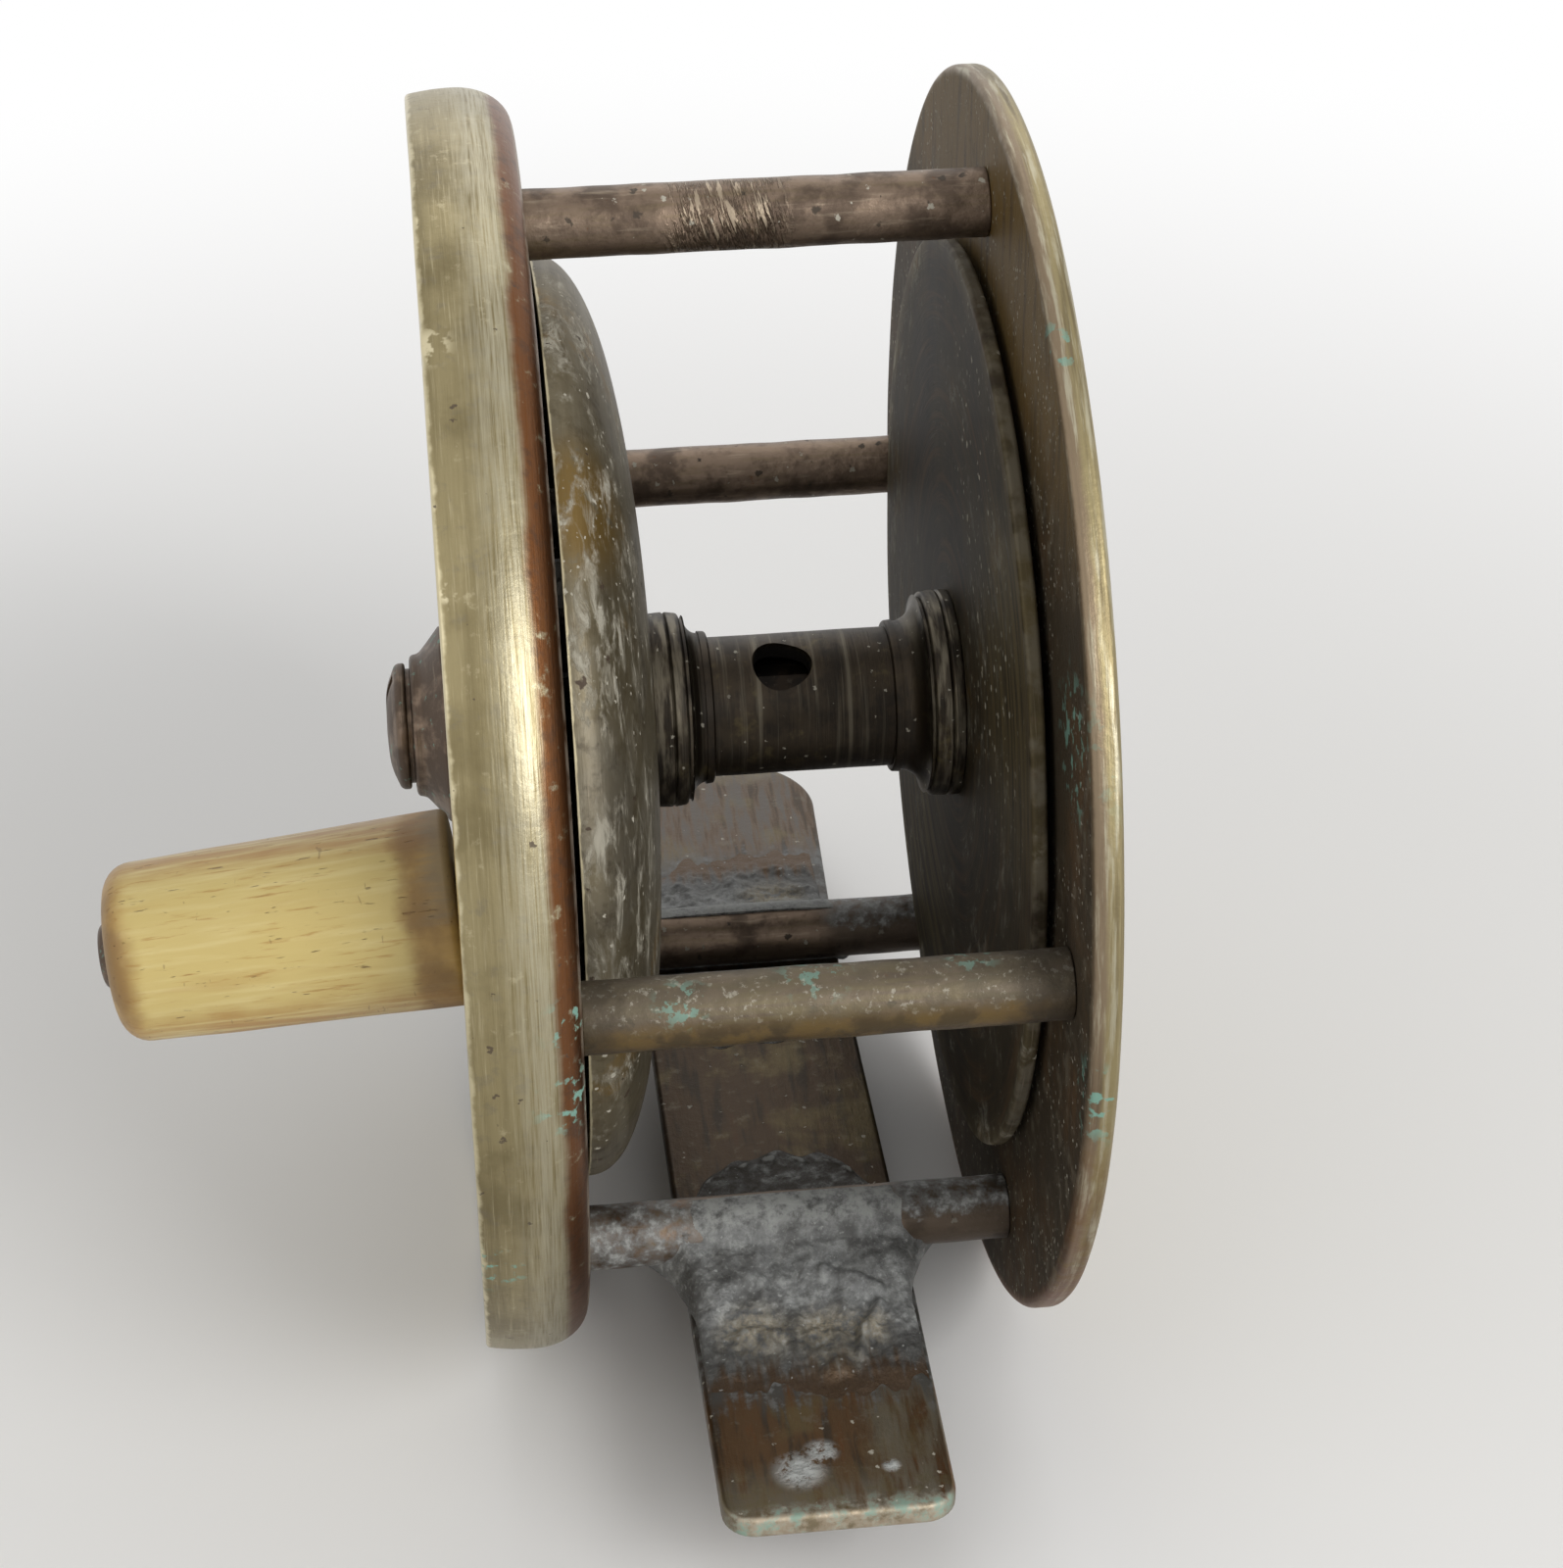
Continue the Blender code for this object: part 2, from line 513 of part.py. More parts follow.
def make_spindle(spool):
    """The shaft: thick through the spool, thin in the bearings, square under the winding plate."""
    thick_start = FRONT_X + BEARING_END_PLAY
    thick_end = BACK_X - min(BEARING_END_PLAY, BACK_FLANGE_CLEARANCE)
    square_start = WINDER_BACK_X + SEAT_GAP
    back_end = BEARING_DEPTH_X - BEARING_END_PLAY
    outline = [(back_end, 0.0), (back_end, JOURNAL_RADIUS)]
    outline += [(thick_end, JOURNAL_RADIUS), (thick_end, SPINDLE_RADIUS), (thick_start, SPINDLE_RADIUS)]
    outline += [(thick_start, JOURNAL_RADIUS), (square_start, JOURNAL_RADIUS), (square_start, 0.0)]
    spindle = turned("spindle", outline, PIN_SEGMENTS, OLD_STEEL, spool)
    square = bmesh.new()
    half = SQUARE_WIDTH / 2
    square_end = BOSS_TOP_X + SEAT_GAP
    add_box(square, (square_end, -half, -half), (square_start + CUT_PAST, half, half))
    shape(spindle, "UNION", square, spool)
    tapped = bmesh.new()
    hole = rod(square_end - CUT_PAST, square_end + SPINDLE_SCREW_BITE, SPINDLE_SCREW_SHANK + SEAT_GAP)
    add_turned(tapped, hole, PIN_SEGMENTS)
    shape(spindle, "DIFFERENCE", tapped, spool)


def dome_section(depth, radius, steps):
    """Half a rounded pan from the middle of its crown to its rim, as (height, radius) points."""
    points = []
    for step in range(steps + 1):
        angle = math.pi / 2 * step / steps
        height = depth * max(math.cos(angle), 0.0) ** (2 / DOME_SHOULDER)
        points.append((height, radius * math.sin(angle) ** (2 / DOME_FULLNESS)))
    return points[:-1] + [(0.0, radius)]


def make_flanges(spool):
    """The domed flange that hides the click check, and the flat one by the back plate."""
    flat = SPINDLE_HOLE + DOME_FLAT_LIP
    depth = CROWN_X - DOME_RIM_X
    outer = [point for point in dome_section(depth, FLANGE_RADIUS, 9) if point[1] > flat]
    outer = [(depth, SPINDLE_HOLE)] + outer
    depth = CROWN_INNER_X - DOME_RIM_X
    inner = [point for point in dome_section(depth, FLANGE_RADIUS - FRONT_FLANGE_SHEET, 6) if point[1] > flat]
    inner = [(depth, SPINDLE_HOLE)] + inner
    outline = [(DOME_RIM_X + height, radius) for height, radius in outer + inner[::-1]]
    turned("front_flange", outline, DISC_SEGMENTS, TARNISHED_BRASS, spool)
    edge = min(BACK_FLANGE_EDGE, BACK_FLANGE_THICKNESS / 3)
    outline = [(BACK_FLANGE_X, SPINDLE_HOLE), (BACK_FLANGE_OUTER_X, SPINDLE_HOLE)]
    outline += [(BACK_FLANGE_OUTER_X, FLANGE_RADIUS - edge), (BACK_FLANGE_OUTER_X - edge, FLANGE_RADIUS)]
    outline += [(BACK_FLANGE_X + edge, FLANGE_RADIUS), (BACK_FLANGE_X, FLANGE_RADIUS - edge)]
    turned("back_flange", outline, DISC_SEGMENTS, TARNISHED_BRASS, spool)


def make_barrel(spool):
    """The tube that takes the line, drilled for the line's end, with a turned collar at each flange."""
    outline = [(BARREL_START_X, SPINDLE_HOLE), (BARREL_END_X, SPINDLE_HOLE)]
    outline += [(BARREL_END_X, BARREL_RADIUS), (BARREL_START_X, BARREL_RADIUS)]
    barrel = turned("barrel", outline, BODY_SEGMENTS, DARK_BRASS, spool)
    bore = BARREL_RADIUS + SEAT_GAP
    lip = bore + COLLAR_LIP
    front_top = BARREL_RADIUS + FRONT_COLLAR_RISE
    shoulder = BARREL_START_X + FRONT_COLLAR_LENGTH
    front_end = shoulder + COLLAR_GROOVE + FRONT_COLLAR_COVE
    front = [(BARREL_START_X, bore), (BARREL_START_X, front_top), (shoulder, front_top - COLLAR_GROOVE)]
    front += [(shoulder, front_top - 3 * COLLAR_GROOVE)]
    front += cove((shoulder + COLLAR_GROOVE, front_top - 2 * COLLAR_GROOVE), (front_end, lip), 4)
    front += [(front_end, bore)]
    turned("front_collar", front, BODY_SEGMENTS, DARK_BRASS, spool)
    back_top = BARREL_RADIUS + BACK_COLLAR_RISE
    shoulder = BARREL_END_X - BACK_COLLAR_LENGTH
    back_end = shoulder - COLLAR_GROOVE - BACK_COLLAR_COVE
    back = [(BARREL_END_X, bore), (BARREL_END_X, back_top - 2 * COLLAR_GROOVE), (shoulder, back_top)]
    back += [(shoulder, back_top - 2 * COLLAR_GROOVE)]
    back += cove((shoulder - COLLAR_GROOVE, back_top - COLLAR_GROOVE), (back_end, lip), 5)
    back += [(back_end, bore)]
    turned("back_collar", back, BODY_SEGMENTS, DARK_BRASS, spool)
    hole = bmesh.new()
    drill = rod(0.0, BARREL_RADIUS + CUT_PAST, LINE_HOLE_RADIUS)
    add_turned(hole, drill, PIN_SEGMENTS)
    turn = math.pi - LINE_HOLE_ANGLE
    hole_x = (front_end + back_end) / 2 - LINE_HOLE_OFFSET
    for vert in hole.verts:
        along, across, side = vert.co
        vert.co = (
            hole_x + side,
            along * math.cos(turn) - across * math.sin(turn),
            along * math.sin(turn) + across * math.cos(turn),
        )
    shape(barrel, "DIFFERENCE", hole, spool)


def make_check_wheel(spool):
    """The toothed wheel: pointed teeth, so that it clicks both ways, and a hub up to the dome."""
    pitch = 2 * math.pi / CHECK_TEETH
    outline = []
    for tooth in range(CHECK_TEETH):
        gap = math.pi / 2 + tooth * pitch
        for radius, middle in ((CHECK_ROOT_RADIUS, gap), (CHECK_TIP_RADIUS, gap + pitch / 2)):
            for side in (-0.5, 0.5):
                angle = middle + side * CHECK_TOOTH_FLAT / radius
                outline.append((radius * math.cos(angle), radius * math.sin(angle)))
    form = bmesh.new()
    add_prism(form, outline, "X", CHECK_X, CHECK_BACK_X)
    wheel = add_object("check_wheel", form, TARNISHED_BRASS, spool)
    hub = bmesh.new()
    hub_end = CROWN_INNER_X - SEAT_GAP
    add_turned(hub, rod(CHECK_MIDDLE_X, hub_end, SPINDLE_HOLE + CHECK_HUB_WALL), PIN_SEGMENTS)
    shape(wheel, "UNION", hub, spool)
    bore = bmesh.new()
    add_turned(bore, rod(CHECK_X - CUT_PAST, hub_end + CUT_PAST, SPINDLE_HOLE), PIN_SEGMENTS)
    shape(wheel, "DIFFERENCE", bore, spool)


def make_winder(spool, handle):
    """The winding plate, the boss on its face and the slotted screw in the spindle's end."""
    edge = min(WINDER_EDGE, WINDER_THICKNESS / 3)
    outline = [(WINDER_BACK_X, 0.0), (WINDER_BACK_X, WINDER_RADIUS - edge)]
    outline += [(WINDER_BACK_X - edge, WINDER_RADIUS), (WINDER_X + edge, WINDER_RADIUS)]
    outline += [(WINDER_X, WINDER_RADIUS - edge), (WINDER_X, 0.0)]
    plate = turned("winding_plate", outline, DISC_SEGMENTS, AGED_BRASS, spool)
    square = bmesh.new()
    half = SQUARE_WIDTH / 2 + SEAT_GAP
    add_box(square, (WINDER_X - CUT_PAST, -half, -half), (WINDER_BACK_X + CUT_PAST, half, half))
    shape(plate, "DIFFERENCE", square, spool)
    hole = bmesh.new()
    add_turned(hole, rod(-CUT_PAST, WINDER_THICKNESS + CUT_PAST, PIN_RADIUS + SEAT_GAP), PIN_SEGMENTS)
    shape(plate, "DIFFERENCE", hole, handle)

    bore = SQUARE_CORNER + SEAT_GAP
    wall_top = BOSS_X - BOSS_WALL_HEIGHT
    outline = [(BOSS_TOP_X, bore), (BOSS_X, bore), (BOSS_X, BOSS_RADIUS), (wall_top, BOSS_RADIUS)]
    outline += [(BOSS_TOP_X, BOSS_TOP_RADIUS)]
    turned("winder_boss", outline, BODY_SEGMENTS, BROWN_BRONZE, spool)

    head_radius = SPINDLE_SCREW_SHANK + SPINDLE_SCREW_LIP
    seat = BOSS_TOP_X - SEAT_GAP
    brim = seat - SPINDLE_SCREW_WALL
    tip = BOSS_TOP_X + SPINDLE_SCREW_BITE
    outline = [(tip, 0.0), (tip, SPINDLE_SCREW_SHANK), (seat, SPINDLE_SCREW_SHANK), (seat, head_radius)]
    outline += dome(brim, -SPINDLE_SCREW_CROWN, head_radius, 4)
    screw = turned("spindle_screw", outline, BODY_SEGMENTS, BROWN_BRONZE, spool)
    slot = bmesh.new()
    top = brim - SPINDLE_SCREW_CROWN
    across = head_radius + CUT_PAST
    half = SPINDLE_SCREW_SLOT_WIDTH / 2
    add_box(slot, (top - CUT_PAST, -half, -across), (top + SPINDLE_SCREW_SLOT_DEPTH, half, across))
    shape(screw, "DIFFERENCE", slot, spool)


def make_handle(handle):
    """The pin, riveted in the winding plate, and the bone knob that turns on it."""
    collar = -SEAT_GAP - PIN_COLLAR_HEIGHT
    base = collar - RUN_GAP
    tip = base - HANDLE_LENGTH
    head = tip - RUN_GAP
    collar_radius = PIN_RADIUS + PIN_COLLAR_LIP
    pin = [(WINDER_THICKNESS, 0.0), (WINDER_THICKNESS, PIN_RADIUS), (-SEAT_GAP, PIN_RADIUS)]
    pin += [(-SEAT_GAP, collar_radius), (collar, collar_radius), (collar, PIN_RADIUS), (head, PIN_RADIUS)]
    pin += dome(head, -PIN_HEAD_HEIGHT, PIN_RADIUS + RUN_GAP + PIN_HEAD_LIP, 3)
    turned("handle_pin", pin, PIN_SEGMENTS, BROWN_BRONZE, handle)
    bore = PIN_RADIUS + RUN_GAP
    tip_round = min(HANDLE_TIP_ROUND, HANDLE_TIP_RADIUS - bore)
    knob = [(tip, bore), (base, bore)]
    base_corner = (base - HANDLE_BASE_ROUND, HANDLE_BASE_RADIUS - HANDLE_BASE_ROUND)
    knob += arc(base_corner, HANDLE_BASE_ROUND, 0, 90, 2)
    knob += arc((tip + tip_round, HANDLE_TIP_RADIUS - tip_round), tip_round, 90, 180, 4)
    turned("handle_knob", knob, BODY_SEGMENTS, YELLOWED_BONE, handle)


def make_stud(name, frame, place, thickness):
    """A shouldered stud riveted into the dish, which carries a piece of the given thickness."""
    foot = FRONT_X + SEAT_GAP
    low = CHECK_MIDDLE_X - thickness / 2 - RUN_GAP
    high = CHECK_MIDDLE_X + thickness / 2 + RUN_GAP
    wide = STUD_RADIUS + STUD_SHOULDER
    top = high + STUD_HEAD_HEIGHT
    outline = [(top, 0.0), (top, wide), (high, wide), (high, STUD_RADIUS)]
    outline += [(low, STUD_RADIUS), (low, wide), (foot, wide), (foot, STUD_TENON_RADIUS)]
    outline += [(FLOOR_X, STUD_TENON_RADIUS), (FLOOR_X, 0.0)]
    turned(name, outline, PIN_SEGMENTS, OLD_STEEL, frame, (0.0, *place))


def make_pawl(pawl):
    """The pawl: an eye on its stud and an arm whose pointed nose drops between two teeth."""
    bore = STUD_RADIUS + RUN_GAP
    eye = bore + PAWL_EYE_WALL
    pitch = 2 * math.pi / CHECK_TEETH
    gap_half = CHECK_TIP_RADIUS * math.sin(pitch / 2) - CHECK_TOOTH_FLAT / 2
    slope = (gap_half - CHECK_TOOTH_FLAT / 2) / CHECK_TOOTH_DEPTH
    nose = PAWL_NOSE_GAP - CHECK_TOOTH_DEPTH
    root_half = PAWL_NOSE_FLAT / 2 + slope * (PAWL_ARM_GAP - nose)
    low_join = 180 - math.degrees(math.asin(PAWL_ARM_GAP / eye))
    high_join = 540 - math.degrees(math.asin(min(PAWL_TOP / eye, 1.0)))
    end = -PAWL_LENGTH - PAWL_OVERHANG
    outline = arc((0.0, 0.0), eye, low_join, high_join, 14)
    outline += [(end, PAWL_TOP), (end, PAWL_ARM_GAP), (-PAWL_LENGTH - root_half, PAWL_ARM_GAP)]
    outline += [(-PAWL_LENGTH - PAWL_NOSE_FLAT / 2, nose), (-PAWL_LENGTH + PAWL_NOSE_FLAT / 2, nose)]
    outline += [(-PAWL_LENGTH + root_half, PAWL_ARM_GAP)]
    form = bmesh.new()
    low = CHECK_MIDDLE_X - PAWL_THICKNESS / 2
    high = CHECK_MIDDLE_X + PAWL_THICKNESS / 2
    add_prism(form, outline, "X", low, high)
    piece = add_object("check_pawl", form, OLD_STEEL, pawl)
    hole = bmesh.new()
    add_turned(hole, rod(low - CUT_PAST, high + CUT_PAST, bore), PIN_SEGMENTS)
    shape(piece, "DIFFERENCE", hole, pawl)


def make_spring(frame):
    """A leaf spring: an eye round its post, then a bowed tail that bears on the pawl's back."""
    eye = STUD_RADIUS + SEAT_GAP + SPRING_LEAF / 2
    path = arc(SPRING_PLACE, eye, 0, 270, 12)
    start = path[-1]
    tip = (SPRING_TIP_REACH, CHECK_TIP_RADIUS + PAWL_TOP + SEAT_GAP + SPRING_LEAF / 2)
    reach = (tip[0] - start[0]) * SPRING_BOW
    pulls = [start, (start[0] + reach, start[1]), (tip[0] - reach, tip[1]), tip]
    for step in range(1, 9):
        t = step / 8
        weights = ((1 - t) ** 3, 3 * t * (1 - t) ** 2, 3 * t * t * (1 - t), t ** 3)
        path.append(tuple(sum(w * pull[axis] for w, pull in zip(weights, pulls)) for axis in (0, 1)))
    left = []
    right = []
    for index, (y, z) in enumerate(path):
        before = path[max(index - 1, 0)]
        after = path[min(index + 1, len(path) - 1)]
        length = math.dist(before, after)
        across = (-(after[1] - before[1]) / length, (after[0] - before[0]) / length)
        left.append((y + across[0] * SPRING_LEAF / 2, z + across[1] * SPRING_LEAF / 2))
        right.append((y - across[0] * SPRING_LEAF / 2, z - across[1] * SPRING_LEAF / 2))
    form = bmesh.new()
    low = CHECK_MIDDLE_X - SPRING_WIDTH / 2
    add_prism(form, left + right[::-1], "X", low, low + SPRING_WIDTH)
    add_object("check_spring", form, OLD_STEEL, frame)


def main():
    clear_scene()
    frame = axis_empty("reel_axis", location=(0.0, 0.0, AXIS_Z))
    spool = axis_empty("spool_axis", frame)
    handle_y = -HANDLE_CIRCLE * math.cos(HANDLE_ANGLE)
    handle_z = HANDLE_CIRCLE * math.sin(HANDLE_ANGLE)
    handle = axis_empty("handle_axis", spool, (WINDER_X, handle_y, handle_z), (0.0, -HANDLE_LEAN, 0.0))
    pawl = axis_empty("pawl_axis", frame, (0.0, *PAWL_PLACE))
    places = pillar_places()

    make_front_plate(frame)
    make_back_plate(frame)
    make_pillars(frame)
    make_pillar_screws(frame)
    make_foot()
    make_solder("near_foot_solder", frame, places["near_foot_pillar"], -1)
    make_solder("far_foot_solder", frame, places["far_foot_pillar"], 1)
    make_bearings(frame)

    make_spindle(spool)
    make_flanges(spool)
    make_barrel(spool)
    make_check_wheel(spool)
    make_winder(spool, handle)
    make_handle(handle)

    make_stud("pawl_stud", frame, PAWL_PLACE, PAWL_THICKNESS)
    make_stud("spring_post", frame, SPRING_PLACE, SPRING_WIDTH)
    make_pawl(pawl)
    make_spring(frame)


main()
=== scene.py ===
"""An old brass plate-wind fly reel on a pale studio floor, laid out as an add-on.

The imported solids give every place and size. Turned, filed and soldered pieces are made again here
with the soft edges, dents and lumps of the real ones, and each finish is built from nodes.
"""

import json
import math

import bmesh
import bpy
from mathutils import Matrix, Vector, noise


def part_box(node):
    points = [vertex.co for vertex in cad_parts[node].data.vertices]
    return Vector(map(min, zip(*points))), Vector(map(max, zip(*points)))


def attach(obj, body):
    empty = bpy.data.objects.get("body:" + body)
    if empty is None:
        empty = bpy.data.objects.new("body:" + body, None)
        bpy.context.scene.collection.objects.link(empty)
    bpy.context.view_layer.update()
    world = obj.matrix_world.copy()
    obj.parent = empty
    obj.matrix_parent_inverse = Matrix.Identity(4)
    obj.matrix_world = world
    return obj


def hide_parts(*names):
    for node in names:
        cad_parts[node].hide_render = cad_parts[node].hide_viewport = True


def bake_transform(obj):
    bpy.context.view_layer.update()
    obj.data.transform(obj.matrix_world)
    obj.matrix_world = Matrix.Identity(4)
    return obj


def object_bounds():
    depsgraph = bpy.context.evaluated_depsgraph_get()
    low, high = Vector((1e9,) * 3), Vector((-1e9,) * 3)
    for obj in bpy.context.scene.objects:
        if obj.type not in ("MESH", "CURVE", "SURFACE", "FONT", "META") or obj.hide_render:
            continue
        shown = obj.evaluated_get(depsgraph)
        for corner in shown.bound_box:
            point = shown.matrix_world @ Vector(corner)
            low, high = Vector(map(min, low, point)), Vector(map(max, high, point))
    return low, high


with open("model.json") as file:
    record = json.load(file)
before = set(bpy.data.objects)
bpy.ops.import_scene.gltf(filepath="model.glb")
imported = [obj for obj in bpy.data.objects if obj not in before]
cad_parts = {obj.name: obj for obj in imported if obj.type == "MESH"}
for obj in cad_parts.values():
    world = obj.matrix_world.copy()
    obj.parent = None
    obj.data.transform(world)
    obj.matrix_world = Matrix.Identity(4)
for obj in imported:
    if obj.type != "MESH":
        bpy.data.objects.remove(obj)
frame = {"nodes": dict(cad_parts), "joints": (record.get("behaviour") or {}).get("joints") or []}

bl_info = {
    "name": "Plate-wind fly reel",
    "version": (1, 0, 0),
    "blender": (4, 5, 0),
    "location": "3D View > Sidebar > Reel",
    "description": "Dresses the solids of an old brass fly reel and sets it on a pale studio floor",
    "category": "Object",
}

MM = 0.001
CAD_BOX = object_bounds()
DISH_LOW, DISH_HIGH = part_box("front_plate")
REAR_LOW, REAR_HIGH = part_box("back_plate")
FOOT_LOW, FOOT_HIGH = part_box("reel_foot")
AXIS_Z = (DISH_LOW.z + DISH_HIGH.z) / 2
REEL_AXIS = Vector((0.0, 0.0, AXIS_Z))
PILLARS = ("top_pillar", "near_pillar", "far_pillar", "near_foot_pillar", "far_foot_pillar")
DISC_SEGMENTS = 288
RING_SEGMENTS = 144
ROD_SEGMENTS = 96
DENT_SEED = 7
SLIVER = 0.02 * MM  # gap between pieces whose faces would coincide
WELD = MM / 5000  # points closer than this are made one
SHARP_DEGREES = 40.0  # edges that bend more than this stay crisp
BROKEN_DEGREES = 50.0  # edges of a solid that bend more than this are broken
STEEL_EDGE = 0.08 * MM  # how far they are broken on the small steel pieces

# Roughness and metallic value of what lies on the metal.
CRUST = (0.7, 0.1)
SALTS = (0.75, 0.05)
BLOOM = (0.8, 0.05)

# The dents would come out differently each run without a seed.
noise.seed_set(DENT_SEED)


def srgb(red, green, blue):
    """A colour as it looks on a screen, 0 to 255, in the values that a shader takes."""
    shares = (value / 255 for value in (red, green, blue))
    return tuple(s / 12.92 if s <= 0.04045 else ((s + 0.055) / 1.055) ** 2.4 for s in shares)


def length(name, description, default):
    """A size that a user can change."""
    return bpy.props.FloatProperty(
        name=name,
        description=description,
        default=default,
        min=0.0,
        precision=5,
        unit="LENGTH",
        subtype="DISTANCE",
    )


def colour(name, description, red, green, blue):
    """A colour that a user can change."""
    return bpy.props.FloatVectorProperty(
        name=name, description=description, default=srgb(red, green, blue), min=0.0, max=1.0, subtype="COLOR"
    )


def power(name, description, default):
    """A lamp's power that a user can change."""
    return bpy.props.FloatProperty(name=name, description=description, default=default, min=0.0, unit="POWER")


class ReelSizes(bpy.types.PropertyGroup):
    """Sizes of the edges, dents and lumps that the solids leave plain."""

    dish_sheet: length("Dish sheet", "Thickness of the pressed front plate", 1.2 * MM)
    dish_run: length("Dish run", "Length of the dish's rounded shoulder along the reel", 3.2 * MM)
    dish_drop: length("Dish drop", "Height of the dish's rounded shoulder", 2.3 * MM)
    dish_edge: length("Dish edge", "Rounding of the dish's worn rim", 0.28 * MM)
    dish_taper: length("Dish taper", "How far the dish's wall draws in towards its rim", 0.3 * MM)
    rear_edge: length("Rear edge", "Rounding of the back plate's edge", 0.45 * MM)
    sheet_wave: length("Sheet wave", "How far old dents push the sheet brass", 0.035 * MM)
    edge_nick: length("Edge nick", "Depth of the nicks along the dish's rim", 0.14 * MM)
    pillar_radius: length("Pillar radius", "Radius of the five pillars", 2.0 * MM)
    pillar_dent: length("Pillar dent", "How far old dents push the pillars", 0.05 * MM)
    flange_sheet: length("Flange sheet", "Thickness of the domed flange", 0.9 * MM)
    foot_middle: length("Foot middle", "Width of the foot between its pillars", 14.0 * MM)
    foot_near: length("Foot near end", "Width of the foot at its filed end", 13.5 * MM)
    foot_edge: length("Foot edge", "Rounding of the foot's edges", 0.32 * MM)
    solder_lump: length("Solder lump", "Height of the lumps in the solder", 0.32 * MM)
    solder_film: length("Solder film", "Thickness of the solder where it runs thin", 0.14 * MM)
    knob_wave: length("Knob wave", "How uneven the whittled bone is", 0.06 * MM)


class ReelColours(bpy.types.PropertyGroup):
    """Colours of the reel's brass, bronze, solder and bone."""

    gold: colour("Olive gold", "Aged brass of the dish", 146, 134, 100)
    gold_dark: colour("Dark gold", "Dull streaks in aged brass", 104, 93, 64)
    gold_worn: colour("Worn gold", "Brass rubbed bright at an edge", 204, 193, 160)
    # Pale brass of the painted highlight along the dish's shoulder, also drawn in pale rings on the back
    # plate's edge.
    painted_sheen: colour("Sheen", "Pale brass where the dish's shoulder is polished", 178, 172, 150)
    shoulder_red: colour("Shoulder red", "Orange-brown tarnish on the dish's shoulder", 106, 62, 30)
    tarnish: colour("Tarnish", "Grey-brown skin of the spool's flange", 114, 107, 92)
    # Near-black brown: dark tarnish on the pieces, and painted shade on the inner faces, between the plates
    # and under the spool.
    dark_tarnish_and_shade: colour("Dark tarnish", "Near-black brown of the inner faces", 56, 48, 38)
    ochre: colour("Ochre", "Golden-brown patches on the spool", 116, 92, 46)
    grease: colour("Grease", "Old grease inside the barrel", 24, 21, 18)
    residue: colour("Residue", "Pale dry residue on the brass", 182, 177, 162)
    verdigris: colour("Verdigris", "Blue-green salts", 118, 162, 148)
    bronze: colour("Bronze", "Grey-brown of the pillars and the boss", 122, 105, 90)
    bronze_dark: colour("Dark bronze", "Stained bronze", 72, 59, 49)
    bronze_pale: colour("Pale bronze", "Scratches in the brown skin", 178, 163, 141)
    foot_brown: colour("Foot brown", "Brown of the foot's blade", 88, 66, 43)
    solder: colour("Solder", "Dull grey lead solder", 126, 127, 126)
    solder_dark: colour("Dark solder", "Hollows of the solder", 78, 77, 74)
    solder_bloom: colour("Solder bloom", "White bloom on the solder", 182, 184, 181)
    solder_earth: colour("Solder earth", "Beige crust where the solder ends", 172, 158, 128)
    bone: colour("Bone", "Yellowed bone", 196, 175, 110)
    bone_pale: colour("Pale bone", "Lighter fibres of the bone", 214, 198, 142)
    # Orange-brown of the bone's streaks and stains, also its painted shade on the knob's sides and its
    # painted shadow at the base.
    bone_warm: colour("Warm bone", "Sides of the bone that time has browned", 166, 124, 58)
    bone_dark: colour("Dark bone", "Stained bone at the ends and in the pores", 98, 68, 38)
    steel: colour("Steel", "Old steel of the check", 122, 119, 114)


class ReelStage(bpy.types.PropertyGroup):
    """The floor, the lamps and the camera."""

    floor: colour("Floor", "Pale studio floor", 238, 237, 235)
    key_power: power("Key", "Main soft lamp", 2.6)
    fill_power: power("Fill", "Second soft lamp", 0.6)
    sky: bpy.props.FloatProperty(name="Sky", description="Even light from all round", default=0.52, min=0.0)
    lens: bpy.props.FloatProperty(name="Lens", description="Focal length", default=79.16, unit="CAMERA")
    spot: bpy.props.FloatVectorProperty(
        name="Camera",
        description="Where the camera stands",
        default=(-0.01933, -0.18282, 0.13784),
        subtype="TRANSLATION",
    )
    aim: bpy.props.FloatVectorProperty(
        name="Aim",
        description="How the camera is turned",
        default=(math.radians(58.63), math.radians(0.35), math.radians(-6.64)),
        subtype="EULER",
    )


class Wire:
    """One socket of a node tree. A sum on wires adds its Math nodes to the tree."""

    def __init__(self, tree, socket):
        self.tree = tree
        self.socket = socket

    def math(self, operation, first, second=0.0):
        return self.tree.node("ShaderNodeMath", {"operation": operation}, {0: first, 1: second})

    def __add__(self, other):
        return self.math("ADD", self, other)

    def __radd__(self, other):
        return self.math("ADD", other, self)

    def __sub__(self, other):
        return self.math("SUBTRACT", self, other)

    def __rsub__(self, other):
        return self.math("SUBTRACT", other, self)

    def __mul__(self, other):
        return self.math("MULTIPLY", self, other)

    def __rmul__(self, other):
        return self.math("MULTIPLY", other, self)

    def __truediv__(self, other):
        return self.math("DIVIDE", self, other)

    def __rtruediv__(self, other):
        return self.math("DIVIDE", other, self)

    def __pow__(self, other):
        return self.math("POWER", self, other)

    def __or__(self, other):
        """The larger of two masks."""
        return self.math("MAXIMUM", self, other)


